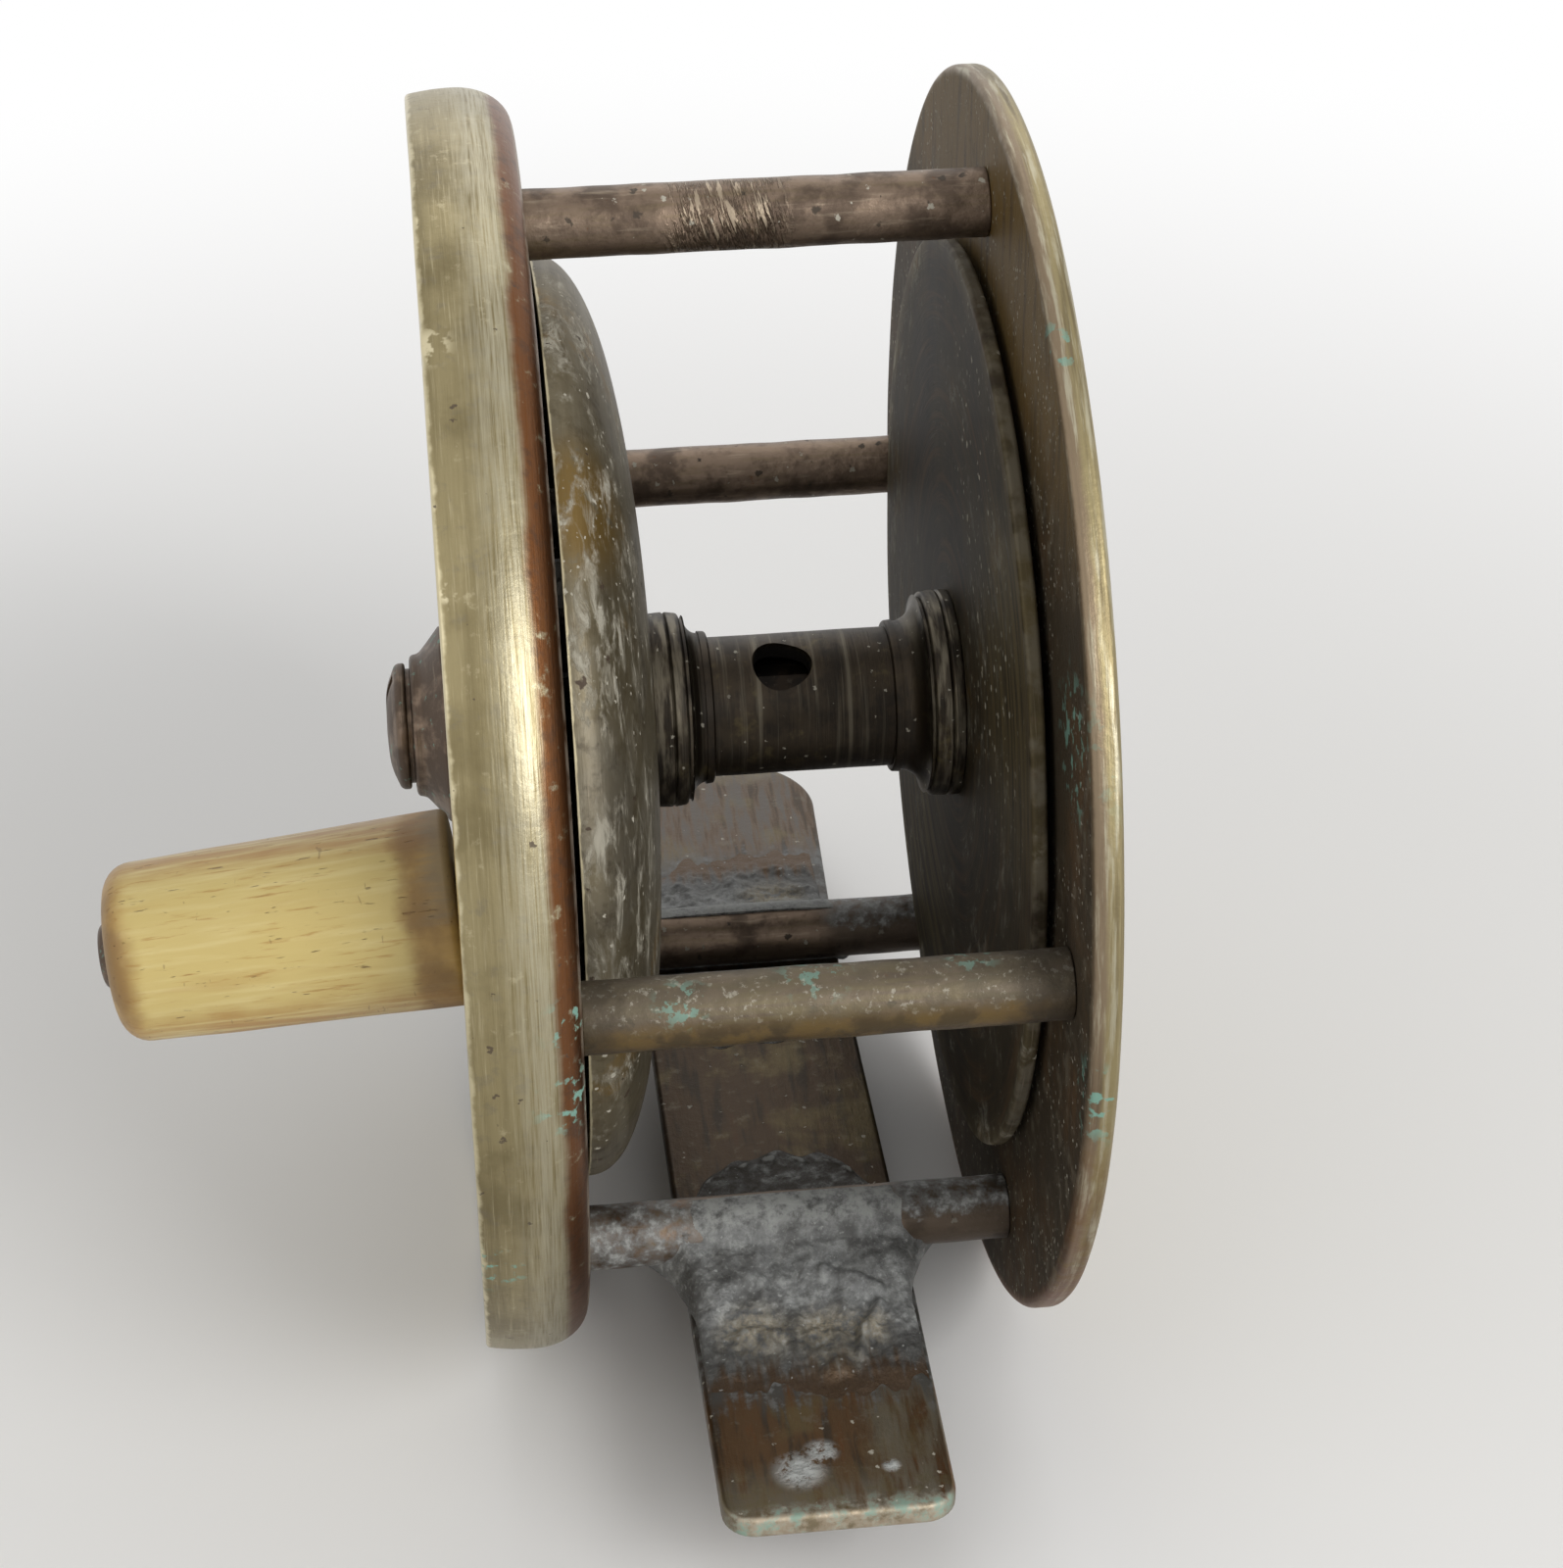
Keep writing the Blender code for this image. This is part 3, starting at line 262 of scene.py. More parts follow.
class Tree:
    """A node tree whose nodes are made by one method."""

    def __init__(self, nodes):
        self.nodes = nodes

    def node(self, kind, settings=None, sockets=None, output=0):
        """A node of a kind: its settings first, then the values or wires of its sockets."""
        made = self.nodes.nodes.new(kind)
        for key, value in (settings or {}).items():
            setattr(made, key, value)
        for key, value in (sockets or {}).items():
            self.feed(made.inputs[key], value)
        return Wire(self, made.outputs[output])

    def feed(self, socket, value):
        """Link a wire to a socket, or set the socket's own value."""
        if isinstance(value, Wire):
            self.nodes.links.new(value.socket, socket)
        elif socket.type == "RGBA":
            socket.default_value = (*tuple(value)[:3], 1.0)
        else:
            socket.default_value = value


class Finish(Tree):
    """A finish built up in skins over one metal, solder or bone. Its lengths are millimetres."""

    def __init__(self, name, base, roughness, metallic):
        self.material = bpy.data.materials.new(name)
        self.material.use_nodes = True
        super().__init__(self.material.node_tree)
        self.shader = self.nodes.nodes["Principled BSDF"]
        local = self.node("ShaderNodeTexCoord", output="Object")
        self.place = self.node("ShaderNodeVectorMath", {"operation": "SCALE"}, {0: local, "Scale": 1 / MM})
        self.x, self.y, self.z = (
            self.node("ShaderNodeSeparateXYZ", None, {0: self.place}, axis) for axis in range(3)
        )
        self.base = base
        self.roughness = roughness
        self.metallic = metallic
        self.height = None

    def radius(self):
        """Distance from the piece's own X axis."""
        return (self.y * self.y + self.z * self.z) ** 0.5

    def vector(self, x, y, z):
        """A vector from wires or numbers."""
        return self.node("ShaderNodeCombineXYZ", None, {0: x, 1: y, 2: z})

    def noise(self, scale, detail=3.0, place=None, rough=0.55, warp=0.0):
        """Cloudy noise from 0 to 1; scale counts features to the millimetre."""
        sockets = {"Vector": place or self.place, "Scale": scale, "Detail": detail, "Roughness": rough}
        return self.node("ShaderNodeTexNoise", None, {**sockets, "Distortion": warp})

    def clouds(self, scale, place=None):
        """Wide soft clouds."""
        return self.noise(scale, 6.0, place, 0.62)

    def mottle(self, scale, place=None):
        """Finer blotches."""
        return self.noise(scale, 5.0, place, 0.65)

    def streaks(self, way, along, across, detail=4.0, rough=0.55, warp=0.0):
        """Noise drawn out: features to the millimetre along a way, and along Y and Z."""
        place = self.vector(way * along, self.y * across, self.z * across)
        return self.noise(1.0, detail, place, rough, warp)

    def spread(self, value, low, high):
        """0 below low and 1 above high, soft between; low may be the larger."""
        sockets = {"Value": value, "From Min": low, "From Max": high}
        return self.node("ShaderNodeMapRange", {"interpolation_type": "SMOOTHSTEP"}, sockets)

    def near(self, point, reach):
        """1 round a point, fading out at its reach."""
        gap = self.node("ShaderNodeVectorMath", {"operation": "DISTANCE"}, {0: self.place, 1: point}, "Value")
        return self.spread(gap, reach, reach * 0.25)

    def spots(self, *places):
        """1 round any of the places, each a point and its reach."""
        mask, *others = (self.near(point, reach) for point, reach in places)
        for other in others:
            mask = mask | other
        return mask

    def specks(self, scale, size, share):
        """Ragged specks of many sizes, in a share of the cells of a random grid."""
        stir = self.node("ShaderNodeTexNoise", None, {"Vector": self.place, "Scale": scale * 4.0}, "Color")
        pull = (0.5 / scale,) * 3
        stirred = {0: stir, 1: pull, 2: self.place}
        place = self.node("ShaderNodeVectorMath", {"operation": "MULTIPLY_ADD"}, stirred)
        sockets = {"Vector": place, "Scale": scale}
        gap = self.node("ShaderNodeTexVoronoi", None, sockets)
        draw = self.node("ShaderNodeTexVoronoi", None, sockets, "Color")
        chance = self.node("ShaderNodeSeparateColor", None, {0: draw}, 0)
        bulk = self.node("ShaderNodeSeparateColor", None, {0: draw}, 1)
        ragged = self.spread(gap / (bulk + 0.3), size, size * 0.6)
        return ragged * self.spread(chance, 1 - share, 1.01 - share)

    def blend(self, first, second, share):
        """A mix of two colours."""
        return self.node("ShaderNodeMix", {"data_type": "RGBA"}, {0: share, 6: first, 7: second}, 2)

    def skin(self, mask, tint, roughness, metallic=None):
        """Lay a skin of tarnish, residue or wear over what is there."""
        self.base = self.blend(self.base, tint, mask)
        self.roughness = self.roughness + mask * (roughness - self.roughness)
        if metallic is not None:
            self.metallic = self.metallic + mask * (metallic - self.metallic)

    def gloss(self, level):
        """Set how much the skin that isn't bare metal shines."""
        self.feed(self.shader.inputs["Specular IOR Level"], level)

    def dull(self, metallic, roughness, least, level):
        """Dull the whole finish: shares of its metal and roughness, a least roughness, and its gloss."""
        self.metallic = self.metallic * metallic
        self.roughness = self.roughness * roughness + least
        self.gloss(level)

    def raise_by(self, amount):
        """Add to the relief, in millimetres."""
        self.height = amount if self.height is None else self.height + amount

    def done(self):
        """Feed the shader and hand over the material."""
        self.feed(self.shader.inputs["Base Color"], self.base)
        self.feed(self.shader.inputs["Roughness"], self.roughness)
        self.feed(self.shader.inputs["Metallic"], self.metallic)
        if self.height is not None:
            relief = self.node("ShaderNodeBump", None, {"Distance": MM, "Height": self.height})
            self.feed(self.shader.inputs["Normal"], relief)
        return self.material


def turned_marks(coat, way, coarse, fine):
    """Wide bands and fine lines round a turned piece, when way runs along its outline."""
    return coat.streaks(way, coarse, 0.05), coat.streaks(way, fine, 0.2, 3.0, 0.7)


def dish_finish(colours):
    """Olive-gold brass: brushed round its wall, with a painted highlight in pale brass along its shoulder,
    orange-brown on its shoulder, a thin pale line at the shoulder's inner end that is painted highlight and
    residue, bright along its rim.
    """
    coat = Finish("dish_brass", colours.gold, 0.37, 0.9)
    reach = coat.radius()
    way = coat.x - reach
    rim = DISH_LOW.x / MM
    face = DISH_HIGH.x / MM
    edge = (DISH_HIGH.z - AXIS_Z) / MM
    bands, lines = turned_marks(coat, way, 1.3, 6.5)
    clouds = coat.noise(0.17, 5.0, rough=0.6)
    mottle = coat.mottle(0.8)
    coat.skin(coat.spread(clouds, 0.42, 0.66) * 0.6, colours.gold_dark, 0.44, 0.86)
    coat.skin(coat.spread(bands, 0.46, 0.72) * 0.45, colours.gold_dark, 0.44, 0.86)
    coat.skin(coat.spread(mottle, 0.54, 0.7) * 0.4, colours.tarnish, 0.46, 0.8)
    coat.skin(coat.spread(mottle, 0.4, 0.28) * 0.35, colours.gold_worn, 0.34, 0.95)
    coat.skin(coat.spread(lines, 0.53, 0.78) * 0.35, colours.gold_worn, 0.32, 0.95)
    coat.skin(coat.spread(lines, 0.46, 0.24) * 0.4, colours.gold_dark, 0.46, 0.86)
    ragged = coat.noise(0.6, 4.0)
    # Painted highlight: a pale band in pale brass along the shoulder, all the way round.
    painted_sheen = coat.spread(coat.x + ragged * 0.8, face - 4.2, face - 1.8) * coat.spread(lines, 0.3, 0.6)
    coat.skin(painted_sheen * 0.6, colours.painted_sheen, 0.33, 0.92)
    shoulder = coat.spread(coat.x + clouds * 0.9, face - 1.25, face - 0.6)
    shoulder = shoulder * coat.spread(reach, edge - 2.9, edge - 2.4)
    coat.skin(shoulder * coat.spread(mottle, 0.26, 0.42) * 0.92, colours.shoulder_red, 0.36, 0.95)
    coat.skin(shoulder * coat.spread(mottle, 0.5, 0.66) * 0.5, colours.bronze_dark, 0.4, 0.85)
    # A thin pale line at the shoulder's inner end: partly a painted highlight where the edge catches light,
    # partly residue.
    glint_and_residue = coat.spread(coat.x, face - 0.2, face - 0.1) * coat.spread(reach, edge - 2.7, edge - 2.3)
    coat.skin(glint_and_residue * coat.spread(ragged, 0.3, 0.56) * 0.5, colours.residue, 0.5, 0.5)
    inside = coat.spread(reach, edge - 2.8, edge - 3.4)
    coat.skin(inside * coat.spread(ragged, 0.3, 0.6) * 0.85, colours.tarnish, 0.5, 0.75)
    nibbled = coat.noise(0.9, 3.0)
    bright = coat.spread(coat.x + nibbled * 0.6, rim + 0.62, rim + 0.34)
    bright = bright * coat.spread(reach, edge - 1.2, edge - 0.7)
    coat.skin(bright * 0.9, colours.gold_worn, 0.3, 1.0)
    chips = coat.spots(((rim + 0.4, -18.3, 33.3), 1.7), ((rim + 0.5, -29.0, 24.5), 0.9))
    coat.skin(chips * coat.spread(nibbled, 0.48, 0.56), colours.gold_worn, 0.35, 1.0)
    coat.skin(coat.specks(0.8, 0.14, 0.3) * 0.8, colours.bronze_dark, 0.6, 0.4)
    salts = coat.spots(
        ((face - 0.8, -36.9, 3.2), 2.2),
        ((face - 0.7, -37.0, -1.6), 3.0),
        ((rim + 0.4, -35.3, -14.4), 3.0),
        ((rim + 1.0, 10.0, -35.5), 4.0),
    )
    coat.skin(salts * coat.spread(coat.noise(1.1, 4.0), 0.55, 0.61) * 0.9, colours.verdigris, *SALTS)
    coat.raise_by(lines * 0.016)
    coat.raise_by(coat.noise(2.5, 4.0) * 0.02)
    return coat.done()


def winder_finish(colours):
    """Brass turned on a lathe, gone dull, with fine rings and stains."""
    coat = Finish("winder_brass", colours.gold, 0.34, 0.92)
    reach = coat.radius()
    bands, lines = turned_marks(coat, reach, 0.45, 5.0)
    clouds = coat.clouds(0.08)
    mottle = coat.mottle(0.5)
    coat.skin(coat.spread(bands, 0.45, 0.7) * 0.5, colours.gold_dark, 0.44, 0.86)
    coat.skin(coat.spread(clouds, 0.47, 0.64) * 0.7, colours.tarnish, 0.46, 0.78)
    coat.skin(coat.spread(clouds, 0.58, 0.7) * 0.6, colours.shoulder_red, 0.4, 0.78)
    coat.skin(coat.spread(mottle, 0.54, 0.7) * 0.4, colours.bronze, 0.46, 0.8)
    coat.skin(coat.spread(lines, 0.54, 0.78) * 0.45, colours.gold_worn, 0.3, 0.95)
    worn = coat.spread(reach, 34.9, 36.1) * coat.spread(mottle, 0.6, 0.4)
    coat.skin(worn * 0.75, colours.gold_worn, 0.32, 1.0)
    coat.skin(coat.specks(0.45, 0.12, 0.35) * 0.8, colours.bronze_dark, 0.6, 0.5)
    thumbed = coat.spread(reach, 10.5, 6.5) * coat.spread(mottle, 0.38, 0.55)
    coat.skin(thumbed * 0.7, colours.bronze_dark, 0.5, 0.7)
    coat.raise_by(lines * 0.02)
    coat.raise_by(coat.noise(1.6, 4.0) * 0.02)
    return coat.done()


def rear_finish(colours):
    """The back plate: pale worn edge, inner face painted near-black brown as shade and lighter golden-brown
    towards its top, with drips and pale grains, aged outer face.
    """
    coat = Finish("rear_brass", colours.gold, 0.4, 0.88)
    reach = coat.radius()
    way = coat.x - reach
    inner = REAR_LOW.x / MM
    outer = REAR_HIGH.x / MM
    edge = (REAR_HIGH.z - AXIS_Z) / MM
    bands, lines = turned_marks(coat, way, 1.2, 6.0)
    clouds = coat.clouds(0.12)
    mottle = coat.mottle(0.6)
    coat.skin(coat.spread(bands, 0.45, 0.7) * 0.5, colours.gold_dark, 0.46, 0.86)
    face = coat.spread(coat.x, outer - 0.5, outer - 0.1) * coat.spread(reach, edge, edge - 1.5)
    coat.skin(face * coat.spread(clouds, 0.42, 0.62) * 0.8, colours.tarnish, 0.48, 0.78)
    coat.skin(face * coat.spread(clouds, 0.56, 0.7) * 0.6, colours.shoulder_red, 0.44, 0.78)
    coat.skin(face * coat.spread(mottle, 0.54, 0.7) * 0.45, colours.bronze_dark, 0.48, 0.75)
    coat.skin(coat.spread(lines, 0.54, 0.78) * 0.4, colours.gold_worn, 0.34, 0.95)
    brow = coat.spread(reach, edge - 0.9, edge - 0.3)
    middle = (inner + outer) / 2
    pink = brow * coat.spread(coat.x + mottle * 0.5, middle + 0.4, middle - 0.1)
    coat.skin(pink * 0.75, colours.bronze, 0.42, 0.8)
    coat.skin(brow * coat.spread(bands, 0.46, 0.62) * 0.5, colours.bronze_dark, 0.44, 0.8)
    rings = coat.streaks(coat.x, 2.4, 0.16, 5.0, 0.65)
    # Pale rings along the edge in the pale brass of the painted highlight: partly turning marks, partly
    # painted highlight.
    coat.skin(brow * coat.spread(rings, 0.5, 0.66) * 0.7, colours.painted_sheen, 0.38, 0.85)
    coat.skin(brow * coat.spread(rings, 0.42, 0.3) * 0.4, colours.bronze, 0.42, 0.8)
    hidden = coat.spread(coat.x, inner + 0.34, inner + 0.1)
    hidden = hidden * coat.spread(reach + mottle * 0.8, edge + 0.3, edge - 0.4)
    # Painted shade: the inner face between the plates is laid near-black, with little metal to it.
    coat.skin(hidden * 0.97, colours.dark_tarnish_and_shade, 0.62, 0.1)
    coat.skin(hidden * coat.spread(clouds, 0.44, 0.64) * 0.6, colours.foot_brown, 0.6, 0.1)
    drips = coat.noise(1.0, 5.0, coat.vector(coat.x, coat.y * 0.9, coat.z * 0.1), 0.65)
    upper = hidden * coat.spread(coat.z + drips * 14.0, 26.0, 36.0)
    coat.skin(upper * 0.6, colours.ochre, 0.55, 0.15)
    coat.skin(hidden * coat.spread(drips, 0.5, 0.62) * 0.6, colours.dark_tarnish_and_shade, 0.6, 0.1)
    drift = coat.spread(coat.noise(0.11, 3.0), 0.38, 0.54)
    coat.skin(hidden * drift * coat.spread(mottle, 0.48, 0.66) * 0.5, colours.tarnish, 0.65, 0.1)
    grains = coat.specks(0.9, 0.22, 0.6) | coat.specks(2.0, 0.24, 0.4)
    coat.skin(hidden * grains * drift * 0.9, colours.residue, *CRUST)
    low = coat.spread(coat.z, 2.0, -24.0)
    coat.skin(brow * low * coat.spread(clouds, 0.36, 0.56) * 0.75, colours.shoulder_red, 0.44, 0.78)
    coat.skin(brow * low * coat.spread(mottle, 0.5, 0.64) * 0.6, colours.ochre, 0.44, 0.8)
    salts = coat.near((inner, -20.4, 32.2), 2.2) | coat.near((inner + 0.6, -37.9, -4.2), 3.6)
    salts = salts | coat.near((inner, -31.0, 14.0), 6.0) * 0.8 | coat.near((outer, 21.0, -26.0), 7.0)
    coat.skin(salts * coat.spread(coat.noise(1.0, 4.0), 0.56, 0.62) * 0.8, colours.verdigris, *SALTS)
    coat.raise_by(lines * 0.016)
    coat.raise_by(coat.noise(1.8, 4.0) * 0.03)
    coat.raise_by(grains * hidden * 0.05)
    coat.gloss(0.12)
    return coat.done()


def flange_finish(colours, name, base, stain, dusty):
    """Tarnish with dry pale residue in drifts and golden patches, before either flange's own marks."""
    coat = Finish(name, base, 0.4, 0.8)
    reach = coat.radius()
    way = coat.x - reach
    bands, lines = turned_marks(coat, way, 0.8, 5.0)
    clouds = coat.clouds(0.13)
    mottle = coat.mottle(0.75)
    coat.skin(coat.spread(bands, 0.45, 0.7) * 0.4, stain, 0.46, 0.75)
    coat.skin(coat.spread(mottle, 0.48, 0.68) * 0.6, stain, 0.48, 0.72)
    coat.skin(coat.spread(clouds, 0.34, 0.56) * 0.45, colours.gold_dark, 0.46, 0.75)
    patch = coat.near((-11.1, -16.1, 22.4), 5.6) | coat.spread(clouds, 0.58, 0.68)
    coat.skin(patch * coat.spread(mottle, 0.3, 0.44) * 0.85, colours.ochre, 0.42, 0.7)
    crust = coat.noise(0.6, 7.0, coat.vector(way * 1.1, coat.y * 0.7, coat.z * 0.55), 0.68, 0.5)
    drift = coat.spots(((-10.2, -20.8, 15.6), 7.0), ((-9.5, -25.0, 3.8), 9.0)) | coat.spread(clouds, 0.5, 0.6)
    coat.skin(drift * coat.spread(crust, 0.54, 0.63) * 0.8, colours.residue, 0.72, 0.15)
    coat.skin(drift * coat.spread(crust, 0.47, 0.55) * 0.3, colours.residue, 0.6, 0.4)
    dust = coat.specks(2.0, 0.22, dusty * 0.8) * coat.spread(clouds, 0.42, 0.52)
    flecks = coat.specks(1.0, 0.2, dusty) | dust
    coat.skin(flecks, colours.residue, *CRUST)
    coat.skin(coat.specks(0.7, 0.18, 0.4) * 0.9, colours.bronze_dark, 0.6, 0.4)
    coat.skin(coat.spread(lines, 0.58, 0.8) * 0.3, colours.bronze_pale, 0.36, 0.9)
    coat.raise_by(lines * 0.018)
    coat.raise_by(coat.spread(crust, 0.5, 0.68) * drift * 0.05)
    return coat, reach


def domed_flange_finish(colours):
    """Olive-brown, with a bright line where the rim is rubbed."""
    coat, reach = flange_finish(colours, "domed_flange_brass", colours.tarnish, colours.dark_tarnish_and_shade, 0.5)
    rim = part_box("front_flange")[0].x / MM
    worn = coat.spread(coat.x + coat.noise(0.7) * 0.3, rim + 0.3, rim + 0.2) * coat.spread(reach, 27.2, 27.6)
    coat.skin(worn * 0.7, colours.gold_worn, 0.34, 1.0)
    coat.dull(0.75, 0.9, 0.08, 0.25)
    return coat.done()


def flat_flange_finish(colours):
    """The same, painted nearly black for the shade between the plates, and greyer along its rim."""
    coat, reach = flange_finish(colours, "flat_flange_brass", colours.dark_tarnish_and_shade, colours.grease, 0.12)
    # Painted shade: the face inside the rim is laid in the dark grease tone.
    coat.skin(coat.spread(reach, 28.0, 26.0) * 0.6, colours.grease, 0.5, 0.5)
    turned = coat.streaks(reach, 1.4, 0.06, 5.0, 0.65)
    coat.skin(coat.spread(turned, 0.5, 0.68) * 0.5, colours.foot_brown, 0.46, 0.7)
    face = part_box("back_flange")[0].x / MM
    olive = coat.spots(((face, -20.0, 12.0), 15.0), ((face, 8.0, -20.0), 14.0))
    coat.skin(olive * coat.spread(turned, 0.4, 0.58) * 0.6, colours.gold_dark, 0.5, 0.6)
    strewn = coat.spots(((face, -6.0, 19.0), 11.0), ((face, -14.0, 8.0), 12.0))
    flecks = coat.specks(1.2, 0.26, 0.7) * coat.spread(turned, 0.44, 0.52) * strewn
    coat.skin(flecks, colours.residue, *CRUST)
    worn = coat.spread(reach, 27.4, 27.9) * coat.spread(coat.noise(0.5, 4.0), 0.4, 0.6)
    coat.skin(worn * 0.6, colours.tarnish, 0.42, 0.8)
    coat.dull(0.25, 0.5, 0.36, 0.12)
    return coat.done()


def barrel_finish(colours):
    """Dark brass of the barrel and its collars, greasy in the grooves; its near-black base is partly painted
    shade between the plates.
    """
    coat = Finish("barrel_brass", colours.dark_tarnish_and_shade, 0.42, 0.82)
    way = coat.x - coat.radius()
    bands, lines = turned_marks(coat, way, 2.0, 8.0)
    clouds = coat.clouds(0.4)
    streaks = coat.streaks(coat.x, 2.2, 0.4)
    coat.skin(coat.spread(clouds, 0.46, 0.62) * 0.5, colours.grease, 0.5, 0.7)
    coat.skin(coat.spread(streaks, 0.5, 0.68) * 0.4, colours.grease, 0.5, 0.7)
    coat.skin(coat.spread(bands, 0.52, 0.7) * 0.5, colours.tarnish, 0.42, 0.82)
    coat.skin(coat.spread(clouds, 0.44, 0.28) * 0.6, colours.gold_dark, 0.44, 0.8)
    coat.skin(coat.spread(lines, 0.58, 0.8) * 0.3, colours.tarnish, 0.36, 0.88)
    collars = coat.spread(coat.radius(), 5.3, 5.9)
    coat.skin(collars * coat.spread(streaks, 0.6, 0.36) * 0.7, colours.tarnish, 0.4, 0.82)
    coat.skin(coat.specks(1.6, 0.2, 0.4) * 0.8, colours.residue, *CRUST)
    tube = half_height("barrel") / MM
    coat.skin(coat.spread(coat.radius(), tube - 0.15, tube - 0.4), colours.grease, 0.6, 0.2)
    coat.raise_by(lines * 0.018)
    coat.raise_by(clouds * 0.04)
    return coat.done()


def pillar_finish(colours, name):
    """Grey-brown bronze with scratches, pits and pale grains; each pillar has its own marks."""
    coat = Finish(f"{name}_bronze", colours.bronze, 0.4, 0.82)
    turn = 7.0 * PILLARS.index(name)
    apart = coat.vector(coat.x + turn, coat.y, coat.z)
    clouds = coat.clouds(0.3, apart)
    mottle = coat.mottle(1.1, apart)
    drawn = coat.noise(1.0, 4.0, coat.vector(coat.x * 0.25 + turn, coat.y * 2.4, coat.z * 2.4))
    coat.skin(coat.spread(drawn, 0.48, 0.7) * 0.35, colours.gold_dark, 0.42, 0.86)
    coat.skin(coat.spread(clouds, 0.48, 0.64) * 0.75, colours.bronze_dark, 0.5, 0.7)
    coat.skin(coat.spread(mottle, 0.5, 0.7) * 0.4, colours.bronze_dark, 0.5, 0.7)
    coat.skin(coat.spread(drawn, 0.42, 0.26) * 0.3, colours.bronze_pale, 0.38, 0.86)
    coat.skin(coat.spread(mottle, 0.36, 0.26) * 0.5, colours.shoulder_red, 0.42, 0.78)
    coat.skin(coat.specks(1.2, 0.2, 0.4) * 0.9, colours.residue, *CRUST)
    coat.skin(coat.specks(0.8, 0.2, 0.4) * 0.8, colours.dark_tarnish_and_shade, 0.6, 0.4)
    coat.raise_by(clouds * 0.06)
    coat.raise_by(mottle * 0.05)
    if name == "top_pillar":
        slanted = coat.vector(coat.x * 3.4 + coat.z * 0.9, coat.y * 0.5, coat.z * 0.5)
        claws = coat.noise(1.0, 3.0, slanted, 0.6)
        patch = coat.spread(coat.x + mottle * 2.0, -4.6, -3.2) * coat.spread(coat.x - mottle * 2.0, 1.2, -0.8)
        patch = patch * coat.spread(coat.y, 1.0, -0.4)
        coat.raise_by(coat.spread(claws, 0.42, 0.6) * patch * 0.12)
        coat.skin(coat.spread(claws, 0.53, 0.62) * patch * 0.6, colours.bronze_pale, 0.34, 0.88)
    if name == "near_pillar":
        coat.skin(coat.spread(drawn, 0.66, 0.4) * 0.75, colours.gold_dark, 0.5, 0.7)
        coat.skin(coat.spread(clouds, 0.6, 0.42) * 0.55, colours.dark_tarnish_and_shade, 0.52, 0.6)
        salts = coat.spots(((-7.9, -1.3, 1.5), 2.0), ((-0.7, 0.1, 2.0), 2.6), ((7.9, 0.5, 1.9), 2.0))
        coat.skin(salts * coat.spread(coat.noise(1.5, 5.0), 0.53, 0.58) * 0.9, colours.verdigris, *SALTS)
        dusty = coat.spread(coat.z - coat.y * 0.4 + mottle * 2.0, 1.2, 3.0)
        coat.skin(dusty * 0.35, colours.tarnish, 0.5, 0.6)
        crumbs = coat.noise(2.2, 6.0, rough=0.7)
        coat.skin(dusty * coat.spread(crumbs, 0.56, 0.64) * 0.45, colours.residue, 0.6, 0.3)
        # Painted shade: the pillar's underside is laid darker, golden-brown and near-black, than its top.
        under = coat.spread(coat.z + coat.y * 0.6 + mottle, 0.2, -1.0)
        coat.skin(under * 0.6, colours.ochre, 0.42, 0.8)
        coat.skin(under * coat.spread(clouds, 0.44, 0.58) * 0.65, colours.dark_tarnish_and_shade, 0.46, 0.7)
        # Painted shade: the pillar is laid darker near both plates.
        ends = coat.spread(coat.x + mottle * 3.0, 10.6, 13.0)
        ends = ends | coat.spread(coat.x - mottle * 3.0, -12.0, -13.6)
        coat.skin(ends * 0.6, colours.dark_tarnish_and_shade, 0.52, 0.6)
    if "foot" in name:
        coat.skin(coat.spread(coat.x, 5.0, 7.0) * 0.65, colours.dark_tarnish_and_shade, 0.5, 0.6)
        ridge = coat.spread(coat.z + mottle * 2.0, 1.9, 2.7)
        ridge = ridge * coat.spread(coat.x - mottle * 3.0, 3.6, 5.6)
        tinned = coat.spread(coat.x + mottle * 3.0, -3.6, -5.6) | ridge
        coat.skin(tinned * coat.spread(mottle, 0.34, 0.56) * 0.75, colours.solder, 0.56, 0.45)
        coat.skin(tinned * coat.spread(mottle, 0.5, 0.66) * 0.7, colours.solder_bloom, *CRUST)
    return coat.done()


def boss_finish(colours):
    """Turned bronze of the boss, its screw, the pin and the pillar screws; green in the crevices."""
    coat = Finish("boss_bronze", colours.bronze, 0.38, 0.85)
    way = coat.x - coat.radius()
    bands, lines = turned_marks(coat, way, 2.2, 9.0)
    clouds = coat.noise(0.5, 5.0, rough=0.62)
    coat.skin(coat.spread(clouds, 0.34, 0.54) * 0.8, colours.bronze_dark, 0.48, 0.72)
    coat.skin(coat.spread(bands, 0.5, 0.7) * 0.5, colours.dark_tarnish_and_shade, 0.46, 0.75)
    coat.skin(coat.spread(bands, 0.44, 0.28) * 0.4, colours.bronze_pale, 0.36, 0.9)
    coat.skin(coat.spread(coat.noise(1.4, 5.0), 0.62, 0.68) * 0.5, colours.verdigris, *CRUST)
    coat.skin(coat.spread(lines, 0.58, 0.8) * 0.4, colours.bronze_pale, 0.34, 0.9)
    coat.raise_by(lines * 0.02)
    coat.raise_by(clouds * 0.04)
    return coat.done()


